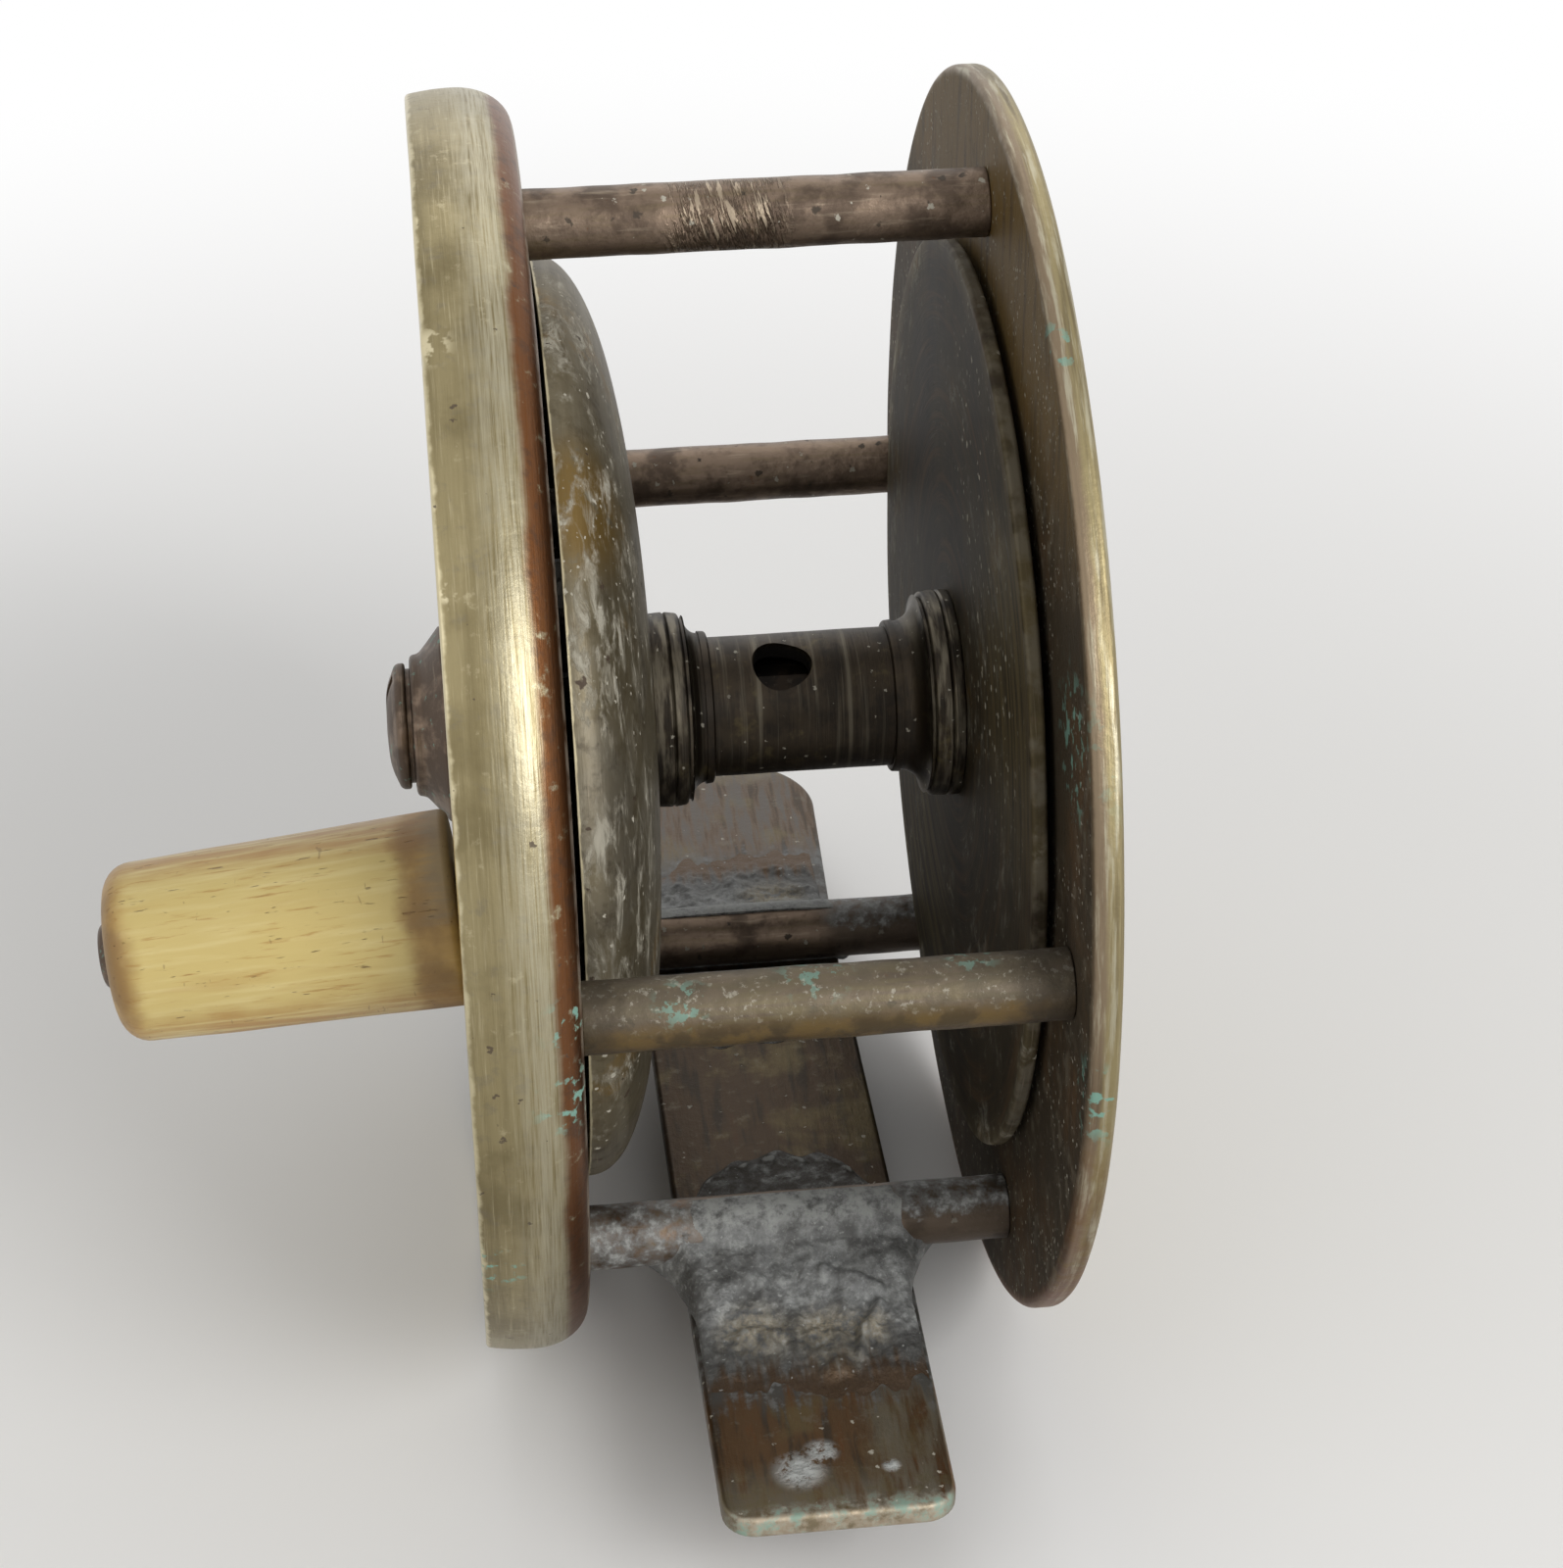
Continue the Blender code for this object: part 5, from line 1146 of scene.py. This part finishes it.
class REEL_OT_foot(bpy.types.Operator):
    """Make the foot's blade and the solder that holds it to its two pillars"""

    bl_idname = "reel.foot"
    bl_label = "Foot and solder"

    def execute(self, context):
        sizes = context.scene.reel_sizes
        colours = context.scene.reel_colours
        self.blade(sizes, foot_finish(colours))
        material = solder_finish(colours)
        for pillar, outward in (("near_foot_pillar", -1), ("far_foot_pillar", 1)):
            name = pillar.replace("_pillar", "_solder")
            mass = self.mass(f"{name}_mass", sizes, axis_of(pillar), outward)
            dress(mass, material, "frame", "solder", name)
            film = self.film(f"{name}_film", sizes, axis_of(pillar), outward)
            dress(film, material, "frame", "solder")
        return {"FINISHED"}

    def blade(self, sizes, material):
        """The strip: filed square at its near end, wider and round at its far end."""
        pillar = axis_of("near_foot_pillar").y
        half = sizes.foot_middle / 2
        near, far = 1.9 * MM, 6.6 * MM
        right = self.bend((sizes.foot_near / 2 - near, FOOT_LOW.y + near), near, -90, 0, 8)
        right += [(half, pillar), (half, -pillar)]
        right += self.bend((FOOT_HIGH.x - far, FOOT_HIGH.y - far), far, 0, 90, 20)
        outline = right + [(-x, y) for x, y in reversed(right)]
        form = bmesh.new()
        face = form.faces.new([form.verts.new((x, y, FOOT_LOW.z)) for x, y in outline])
        grown = bmesh.ops.extrude_face_region(form, geom=[face], use_keep_orig=True)["geom"]
        top = [item for item in grown if isinstance(item, bmesh.types.BMVert)]
        bmesh.ops.translate(form, verts=top, vec=(0.0, 0.0, FOOT_HIGH.z - FOOT_LOW.z))
        bmesh.ops.recalc_face_normals(form, faces=form.faces)
        brink = [edge for edge in form.edges if len({round(v.co.z, 6) for v in edge.verts}) == 1]
        bmesh.ops.bevel(form, geom=brink, offset=sizes.foot_edge, segments=4, profile=0.5, affect="EDGES")
        dress(shaded("foot_blade", form, sharp=30.0), material, "frame", "foot_brass", "reel_foot")

    def bend(self, centre, radius, start, end, steps):
        """Points of an arc in the blade's plan."""
        turns = [math.radians(start + (end - start) * step / steps) for step in range(steps + 1)]
        return [(centre[0] + radius * math.cos(turn), centre[1] + radius * math.sin(turn)) for turn in turns]

    def slab(self, name, columns, rows, top, bottom):
        """A closed body between two sheets: top and bottom give a point for a share of each way."""
        form = bmesh.new()
        sheets = []
        for sheet in (top, bottom):
            sheets.append(
                [
                    [form.verts.new(sheet(column / columns, row / rows)) for row in range(rows + 1)]
                    for column in range(columns + 1)
                ]
            )
        upper, lower = sheets
        for column in range(columns):
            for row in range(rows):
                for sheet in sheets:
                    a, b = sheet[column], sheet[column + 1]
                    form.faces.new((a[row], a[row + 1], b[row + 1], b[row]))
        for row in range(rows):
            for column in (0, columns):
                a, b = upper[column], lower[column]
                form.faces.new((a[row], a[row + 1], b[row + 1], b[row]))
        for column in range(columns):
            for row in (0, rows):
                a, b = upper[column], upper[column + 1]
                c, d = lower[column + 1], lower[column]
                form.faces.new((a[row], b[row], c[row], d[row]))
        return shaded(name, form, sharp=75.0)

    def mass(self, name, sizes, pillar, outward):
        """Solder from the pillar's ridge down to the blade, flared along the pillar and lumpy on top."""
        foot_top = FOOT_HIGH.z
        start = -0.35 * MM
        tongue = 13.2 * MM
        flank = 0.9 * MM
        flares = ((3.4 * MM, 7.0 * MM), (2.4 * MM, 5.4 * MM))
        crest = 3.5 * MM
        lip = 1.3 * MM
        slope_run = 7.6 * MM
        lift = pillar.z - 0.4 * sizes.pillar_radius - foot_top
        ridges = (
            ((1.4, 20.3), (4.6, 21.6), 0.6, 0.5),
            ((4.6, 22.5), (3.3, 24.6), 0.55, 0.42),
            ((3.3, 24.6), (2.9, 26.6), 0.55, 0.4),
            ((-3.9, 24.3), (-2.6, 24.6), 1.1, 0.3),
            ((0.6, 24.4), (1.6, 24.7), 0.9, 0.3),
            ((0.9, 27.9), (1.7, 27.6), 1.0, 0.25),
            ((-5.6, 21.0), (-3.0, 20.2), 0.9, 0.22),
        )

        def blade_half(away):
            return sizes.foot_middle / 2 - 0.25 * MM - 0.0115 * max(0.0, away)

        def side(away, flare):
            """How far the solder reaches sideways: most at the pillar's flank, less on its ridge."""
            width, run = flare
            if away < flank:
                share = (away - start) / (flank - start)
                return blade_half(away) + width * (0.35 + 0.65 * share)
            share = min(1.0, (away - flank) / run)
            return blade_half(away) + width * (1 - math.sqrt(1 - (1 - share) ** 2))

        def shore(x):
            ragged = noise.noise(Vector((x / (1.7 * MM), outward * 3.0, 0.7)))
            fine = noise.noise(Vector((x / (0.5 * MM), outward * 5.0, 2.7)))
            return tongue + (ragged * 1.5 + fine * 0.5 - 1.3 * max(0.0, -x / (6 * MM))) * MM

        def top(column, row):
            mean = start + (tongue - start) * row
            left, right = -side(mean, flares[0]), side(mean, flares[1])
            x = left + (right - left) * column
            away = start + (shore(x) - start) * row
            y = pillar.y + outward * away
            flared = max(0.0, abs(x) - blade_half(mean)) / flares[x > 0][0]
            low = foot_top + (lift * flared - 0.35 * MM if flared > 0 else SLIVER)
            ragged = noise.noise(Vector((x, y, 0.0)) / (1.3 * MM))
            thin = max(0.0, abs(x) / (7.0 * MM) + 0.22 * ragged) ** 4
            body = sizes.pillar_radius + sizes.solder_film * (1.2 - 1.7 * min(1.4, thin))
            hug = low
            if abs(away) < body:
                hug = pillar.z + math.sqrt(body * body - away * away)
            brim = max(0.0, min(x - left, right - x, lip)) / lip
            swell = math.sqrt(1 - (1 - brim) ** 2)
            rise = sizes.solder_film * 2.6 * (1 - row ** 3) + crest * max(0.0, 1 - away / slope_run) ** 1.3
            rise *= 1 - 0.45 * min(1.0, flared)
            rough = noise.fractal(Vector((x, y, 0.0)) / (2.1 * MM), 0.9, 2.1, 5)
            fine = noise.noise(Vector((x, y, 5 * MM)) / (0.55 * MM))
            settle = min(1.0, (1 - row) * 5.0) * (0.3 if away < 1.0 * MM else min(1.0, away / (3 * MM)))
            rise += (rough * sizes.solder_lump + fine * 0.06 * MM) * settle
            if outward < 0:
                lumps = (self.ridge(x / MM, -y / MM, *run) * height for *run, height in ridges)
                rise += sum(lumps) * MM * min(1.0, (1 - row) * 8.0)
            slope = low + max(0.0, foot_top + rise - low) * swell
            return (x, y, max(slope, hug))

        def bottom(column, row):
            x, y, height = top(column, row)
            beyond = max(0.0, abs(x) - blade_half(abs(y - pillar.y)))
            sink = (0.08 + 0.5 * min(1.0, beyond / (0.6 * MM))) * MM
            return (x, y, min(height - SLIVER, foot_top - sink + lift * beyond / flares[x > 0][0]))

        return self.slab(name, 150, 96, top, bottom)

    def ridge(self, x, y, start, end, width):
        """1 along a short raised run of solder, 0 beyond its width."""
        run = Vector(end) - Vector(start)
        gone = Vector((x, y)) - Vector(start)
        share = max(0.0, min(1.0, gone.dot(run) / run.length_squared))
        gap = (gone - run * share).length / width
        return max(0.0, 1 - gap * gap) ** 1.5

    def film(self, name, sizes, pillar, outward):
        """The thin arch of solder that ran in under the spool, with a beaded border."""
        foot_top = FOOT_HIGH.z
        half = sizes.foot_middle / 2 - 0.4 * MM
        start = sizes.pillar_radius * 0.5

        def top(column, row):
            across = 2 * column - 1
            ragged = noise.noise(Vector((across * 4.0, outward * 2.0, 1.3)))
            reach = start + 9.6 * MM * math.sqrt(max(0.02, 1 - abs(across) ** 2.4)) * (0.94 + 0.1 * ragged)
            away = start + (reach - start) * row
            x = half * across
            y = pillar.y - outward * away
            border = math.exp(-(((row - 0.93) / 0.06) ** 2))
            bead = max(0.0, noise.noise(Vector((x, y, 0.0)) / (0.6 * MM)) + 0.1)
            rough = noise.fractal(Vector((x, y, 2 * MM)) / (1.5 * MM), 0.9, 2.1, 4)
            height = sizes.solder_film * (0.6 + 0.5 * rough) + bead * border * 0.42 * MM
            fade = min(1.0, (1 - row) * 16) * min(1.0, (1 - abs(across)) * 14)
            return (x, y, foot_top + max(SLIVER, height * fade))

        def bottom(column, row):
            x, y, _ = top(column, row)
            return (x, y, foot_top - 0.05 * MM)

        return self.slab(name, 90, 60, top, bottom)


class REEL_OT_spool(bpy.types.Operator):
    """Make the domed flange, the flat flange, the barrel and its collars"""

    bl_idname = "reel.spool"
    bl_label = "Spool"

    def execute(self, context):
        sizes = context.scene.reel_sizes
        colours = context.scene.reel_colours
        hole = 3.0 * MM
        self.domed(sizes, domed_flange_finish(colours), hole)
        low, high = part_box("back_flange")
        edge = half_height("back_flange")
        corners = [
            (low.x, hole),
            (low.x, edge, 0.25 * MM),
            (high.x, edge, 0.25 * MM),
            (high.x, hole),
        ]
        dents = wavy(sizes.sheet_wave, 7 * MM)
        flat = lathe("flat_flange", corners, DISC_SEGMENTS, REEL_AXIS, 1.0 * MM, dents)
        dress(flat, flat_flange_finish(colours), "spool", "spool_brass", "back_flange")
        dark = barrel_finish(colours)
        self.barrel(dark, hole)
        self.collar("front_collar", 1, dark, 1.8 * MM, (1.25,))
        self.collar("back_collar", -1, dark, 1.5 * MM, (0.75,))
        return {"FINISHED"}

    def domed(self, sizes, material, hole):
        """The pan-shaped flange that hides the click check."""
        low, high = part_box("front_flange")
        edge = half_height("front_flange")

        def pan(depth, radius, steps):
            points = []
            for step in range(steps + 1):
                turn = math.pi / 2 * step / steps
                rise = depth * max(math.cos(turn), 0.0) ** (2 / 2.4)
                points.append((rise, radius * math.sin(turn) ** (2 / 2.6)))
            clear = [point for point in points[:-1] if point[1] > 1.5 * hole]
            return [(depth, hole)] + clear + [(0.0, radius)]

        outer = pan(high.x - low.x, edge, 60)
        inner = pan(high.x - low.x - sizes.flange_sheet, edge - sizes.flange_sheet, 24)
        corners = [(low.x + rise, radius) for rise, radius in outer + inner[::-1]]
        dents = wavy(sizes.sheet_wave, 6 * MM)
        dome = lathe("domed_flange", corners, DISC_SEGMENTS, REEL_AXIS, 1.2 * MM, dents)
        dress(dome, material, "spool", "spool_brass", "front_flange")

    def barrel(self, material, hole):
        """The tube with its worn line hole."""
        low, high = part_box("barrel")
        edge = half_height("barrel")
        corners = [(low.x, hole), (high.x, hole), (high.x, edge), (low.x, edge)]
        tube = lathe("line_barrel", corners, RING_SEGMENTS, REEL_AXIS, 0.5 * MM, wavy(0.03 * MM, 2.5 * MM))
        carve(tube, self.line_hole(edge))
        dress(tube, material, "spool", "spool_brass", "barrel")

    def line_hole(self, edge):
        """A closed body in the shape of the line hole: uneven, a little oval and flared at its mouth."""
        form = bmesh.new()
        rings = []
        steps = 40
        radius = 1.62 * MM
        oval = 1.15
        lean = math.radians(26.4)
        out = Vector((0.0, -math.sin(lean), math.cos(lean)))
        along = Vector((1.0, 0.0, 0.0))
        middle = REEL_AXIS + along * 1.05 * MM
        for depth, flare in ((0.0, 1.0), (edge - 0.3 * MM, 1.0), (edge + 0.5 * MM, 1.15)):
            ring = []
            for step in range(steps):
                turn = 2 * math.pi * step / steps
                uneven = 1 + 0.07 * math.cos(2 * turn + 0.5) + 0.05 * math.cos(3 * turn)
                reach = radius * flare * uneven
                spoke = along * math.cos(turn) + out.cross(along) * oval * math.sin(turn)
                ring.append(form.verts.new(middle + out * depth + spoke * reach))
            rings.append(ring)
        for ring, following in zip(rings, rings[1:]):
            for step in range(steps):
                after = (step + 1) % steps
                form.faces.new((ring[step], ring[after], following[after], following[step]))
        form.faces.new(rings[0])
        form.faces.new(rings[-1])
        return shaded("cutter", form)

    def collar(self, name, sign, material, band, grooves):
        """A turned collar: a grooved band against the flange, then a hollow sweep down to the barrel."""
        low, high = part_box(name)
        top = half_height(name)
        tube = half_height("barrel")
        seat, lip = (low.x - 0.3 * MM, high.x) if sign > 0 else (high.x + 0.3 * MM, low.x)

        def at(run, radius, *soft):
            return (seat + sign * run, radius, *soft)

        step = band + 0.3 * MM
        corners = [at(0.0, tube), at(0.0, top - 0.05 * MM, 0.15 * MM)]
        for groove in grooves:
            corners += [
                at((groove - 0.12) * MM, top, 0.06 * MM),
                at(groove * MM, top - 0.1 * MM),
                at((groove + 0.12) * MM, top, 0.06 * MM),
            ]
        corners += [
            at(step, top - 0.1 * MM, 0.2 * MM),
            at(step + 0.08 * MM, top - 0.42 * MM),
            at(step + 0.24 * MM, top - 0.42 * MM),
        ]
        foot = lip - sign * 0.5 * MM
        corners += sweep(at(step + 0.3 * MM, top - 0.25 * MM), (foot, tube + 0.3 * MM))
        corners += [(foot, tube + 0.42 * MM), (lip, tube + 0.38 * MM, 0.15 * MM), (lip, tube)]
        ring = lathe(f"{name}_ring", corners, RING_SEGMENTS, REEL_AXIS, 0.3 * MM, wavy(0.02 * MM, 2 * MM))
        dress(ring, material, "spool", "spool_brass", name)


class REEL_OT_winder(bpy.types.Operator):
    """Make the winding plate, its boss and the slotted screw"""

    bl_idname = "reel.winder"
    bl_label = "Winding plate"

    def execute(self, context):
        sizes = context.scene.reel_sizes
        colours = context.scene.reel_colours
        low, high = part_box("winding_plate")
        edge = half_height("winding_plate")
        corners = [(high.x, 0.0), (high.x, edge, 0.3 * MM), (low.x, edge, 0.35 * MM), (low.x, 0.0)]
        dents = wavy(sizes.sheet_wave, 9 * MM)
        disc = lathe("winding_disc", corners, DISC_SEGMENTS, REEL_AXIS, 0.9 * MM, dents)
        dress(disc, winder_finish(colours), "spool", "dish_brass", "winding_plate")
        bronze = boss_finish(colours)
        self.boss(bronze, low.x - SLIVER)
        self.screw(bronze)
        return {"FINISHED"}

    def boss(self, material, seat):
        """A low ring, a groove, and a cone up to the screw."""
        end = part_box("winder_boss")[0].x
        edge = half_height("winder_boss")
        top = edge - 2.0 * MM
        bore = 2.3 * MM
        corners = [
            (seat, bore),
            (seat, edge, 0.15 * MM),
            (seat - 0.95 * MM, edge, 0.3 * MM),
            (seat - 1.05 * MM, edge - 0.35 * MM, 0.1 * MM),
            (seat - 1.25 * MM, edge - 0.3 * MM, 0.2 * MM),
            (end + 1.0 * MM, top + 0.55 * MM, 0.5 * MM),
            (end + 0.6 * MM, top + 0.1 * MM, 0.2 * MM),
            (end + 0.1 * MM, top, 0.25 * MM),
            (end, top - 0.3 * MM, 0.12 * MM),
            (end, bore),
        ]
        boss = lathe("boss", corners, RING_SEGMENTS, REEL_AXIS, 0.3 * MM, wavy(0.02 * MM, 2 * MM))
        dress(boss, material, "spool", "pillar_bronze", "winder_boss")

    def screw(self, material):
        """The screw in the boss: a thin domed head on a neck, with a slot."""
        low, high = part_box("spindle_screw")
        head = half_height("spindle_screw") - 0.35 * MM
        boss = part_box("winder_boss")[0].x - SLIVER
        seat = boss - 0.26 * MM
        shank, neck = 0.9 * MM, 3.5 * MM
        corners = [
            (high.x, 0.0),
            (high.x, shank),
            (boss, shank),
            (boss, neck),
            (seat, neck),
            (seat, head, 0.2 * MM),
            (seat - 0.6 * MM, head, 0.45 * MM),
            (low.x + 0.1 * MM, head * 0.62, 0.9 * MM),
            (low.x, 0.0),
        ]
        screw = lathe("boss_screw", corners, RING_SEGMENTS, REEL_AXIS, 0.3 * MM, wavy(0.02 * MM, 1.6 * MM))
        slot = Vector((0.55, 0.4, 6.0)) * MM
        end = REEL_AXIS + Vector((low.x, 0.0, 0.0))
        carve(screw, box_body(end - slot, end + slot))
        dress(screw, material, "spool", "pillar_bronze", "spindle_screw")


class REEL_OT_handle(bpy.types.Operator):
    """Make the bone knob and the riveted pin that it turns on"""

    bl_idname = "reel.handle"
    bl_label = "Handle"

    def execute(self, context):
        sizes = context.scene.reel_sizes
        colours = context.scene.reel_colours
        joint = next(joint for joint in frame["joints"] if joint["name"] == "handle_spin")
        turn = Vector((-1.0, 0.0, 0.0)).rotation_difference(Vector(joint["axis"]))
        base, tip = -1.1 * MM, -19.9 * MM
        wide, narrow = 5.4 * MM, 4.85 * MM
        bore = 1.7 * MM
        corners = [
            (tip, bore),
            (base, bore),
            (base, wide, 0.5 * MM),
            (tip, narrow, 2.1 * MM),
        ]
        dents = wavy(sizes.knob_wave, 5 * MM)
        knob = lathe("bone_knob", corners, RING_SEGMENTS, joint["pos_m"], 0.45 * MM, dents)
        rivet = tip - 0.2 * MM
        shank = 1.4 * MM
        collar = 2.7 * MM
        corners = [
            (1.6 * MM, 0.0),
            (1.6 * MM, shank),
            (-SLIVER, shank),
            (-SLIVER, collar, 0.1 * MM),
            (-0.8 * MM, collar, 0.15 * MM),
            (-0.8 * MM, shank),
            (rivet, shank),
            (rivet, 1.9 * MM, 0.08 * MM),
            (rivet - 0.4 * MM, 1.6 * MM, 0.3 * MM),
            (rivet - 0.5 * MM, 0.0),
        ]
        pin = lathe("knob_pin", corners, ROD_SEGMENTS, joint["pos_m"])
        for piece in (knob, pin):
            piece.rotation_mode = "QUATERNION"
            piece.rotation_quaternion = turn
        dress(knob, bone_finish(colours), "handle", "bone", "handle_knob")
        dress(pin, boss_finish(colours), "spool", "pillar_bronze", "handle_pin")
        return {"FINISHED"}


class REEL_OT_works(bpy.types.Operator):
    """Finish the bearings, the spindle and the click check"""

    bl_idname = "reel.works"
    bl_label = "Bearings and click check"

    def execute(self, context):
        colours = context.scene.reel_colours
        brass = barrel_finish(colours)
        for node in ("front_bearing", "check_wheel"):
            dress_solid(node, brass)
        dress_solid("spindle", steel_finish(colours, "greasy_steel", colours.grease, 0.1), STEEL_EDGE)
        steel = steel_finish(colours, "old_steel", colours.steel, 0.7)
        for node in ("check_pawl", "pawl_stud", "spring_post"):
            dress_solid(node, steel, STEEL_EDGE)
        self.leaf_spring(steel)
        self.cap(boss_finish(colours))
        return {"FINISHED"}

    def leaf_spring(self, material):
        """The check's spring, made again from its solid with its edges broken."""
        form = bmesh.new()
        form.from_mesh(frame["nodes"]["check_spring"].data)
        bmesh.ops.remove_doubles(form, verts=form.verts, dist=WELD)
        sharp = [edge for edge in form.edges if edge.calc_face_angle(0.0) > math.radians(BROKEN_DEGREES)]
        bmesh.ops.bevel(form, geom=sharp, offset=STEEL_EDGE, segments=2, profile=0.5, affect="EDGES")
        spring = shaded("leaf_spring", form)
        spring.data.materials.append(material)
        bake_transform(spring)
        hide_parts("check_spring")

    def cap(self, material):
        """The bush in the back plate, with a domed cap outside."""
        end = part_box("back_bearing")[1].x
        lip = half_height("back_bearing")
        bush = 3.6 * MM
        seat = REAR_HIGH.x + SLIVER
        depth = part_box("spindle")[1].x + 0.3 * MM
        bore = 2.6 * MM
        corners = [
            (depth, 0.0),
            (depth, bore),
            (REAR_LOW.x, bore),
            (REAR_LOW.x, bush),
            (seat, bush),
            (seat, lip, 0.1 * MM),
            (seat + 0.95 * MM, lip, 0.35 * MM),
            (seat + 1.15 * MM, 5.3 * MM, 0.25 * MM),
            (end - 0.5 * MM, 4.6 * MM, 1.2 * MM),
            (end, 0.0),
        ]
        cap = lathe("bearing_cap", corners, RING_SEGMENTS, REEL_AXIS, 0.4 * MM, wavy(0.02 * MM, 3 * MM))
        dress(cap, material, "frame", "bearing_brass", "back_bearing")


class REEL_PT_panel(bpy.types.Panel):
    """The reel's steps, in the order in which they are taken"""

    bl_idname = "REEL_PT_panel"
    bl_label = "Fly reel"
    bl_space_type = "VIEW_3D"
    bl_region_type = "UI"
    bl_category = "Reel"

    def draw(self, context):
        for step in STEPS:
            self.layout.operator(step.bl_idname)
        for group in GROUPS:
            settings = getattr(context.scene, group)
            for name in settings.__annotations__:
                self.layout.prop(settings, name)


STEPS = (
    REEL_OT_stage,
    REEL_OT_plates,
    REEL_OT_pillars,
    REEL_OT_foot,
    REEL_OT_spool,
    REEL_OT_winder,
    REEL_OT_handle,
    REEL_OT_works,
)
GROUPS = {"reel_sizes": ReelSizes, "reel_colours": ReelColours, "reel_stage": ReelStage}


def register():
    """Add the groups, the steps and the panel."""
    for kind in (*GROUPS.values(), *STEPS, REEL_PT_panel):
        bpy.utils.register_class(kind)
    for name, kind in GROUPS.items():
        setattr(bpy.types.Scene, name, bpy.props.PointerProperty(type=kind))


def unregister():
    """Take them away again."""
    for name in GROUPS:
        delattr(bpy.types.Scene, name)
    for kind in reversed((*GROUPS.values(), *STEPS, REEL_PT_panel)):
        bpy.utils.unregister_class(kind)


def main():
    """Take every step in order."""
    register()
    for step in STEPS:
        group, name = step.bl_idname.split(".")
        getattr(getattr(bpy.ops, group), name)()


if __name__ == "__main__":
    main()
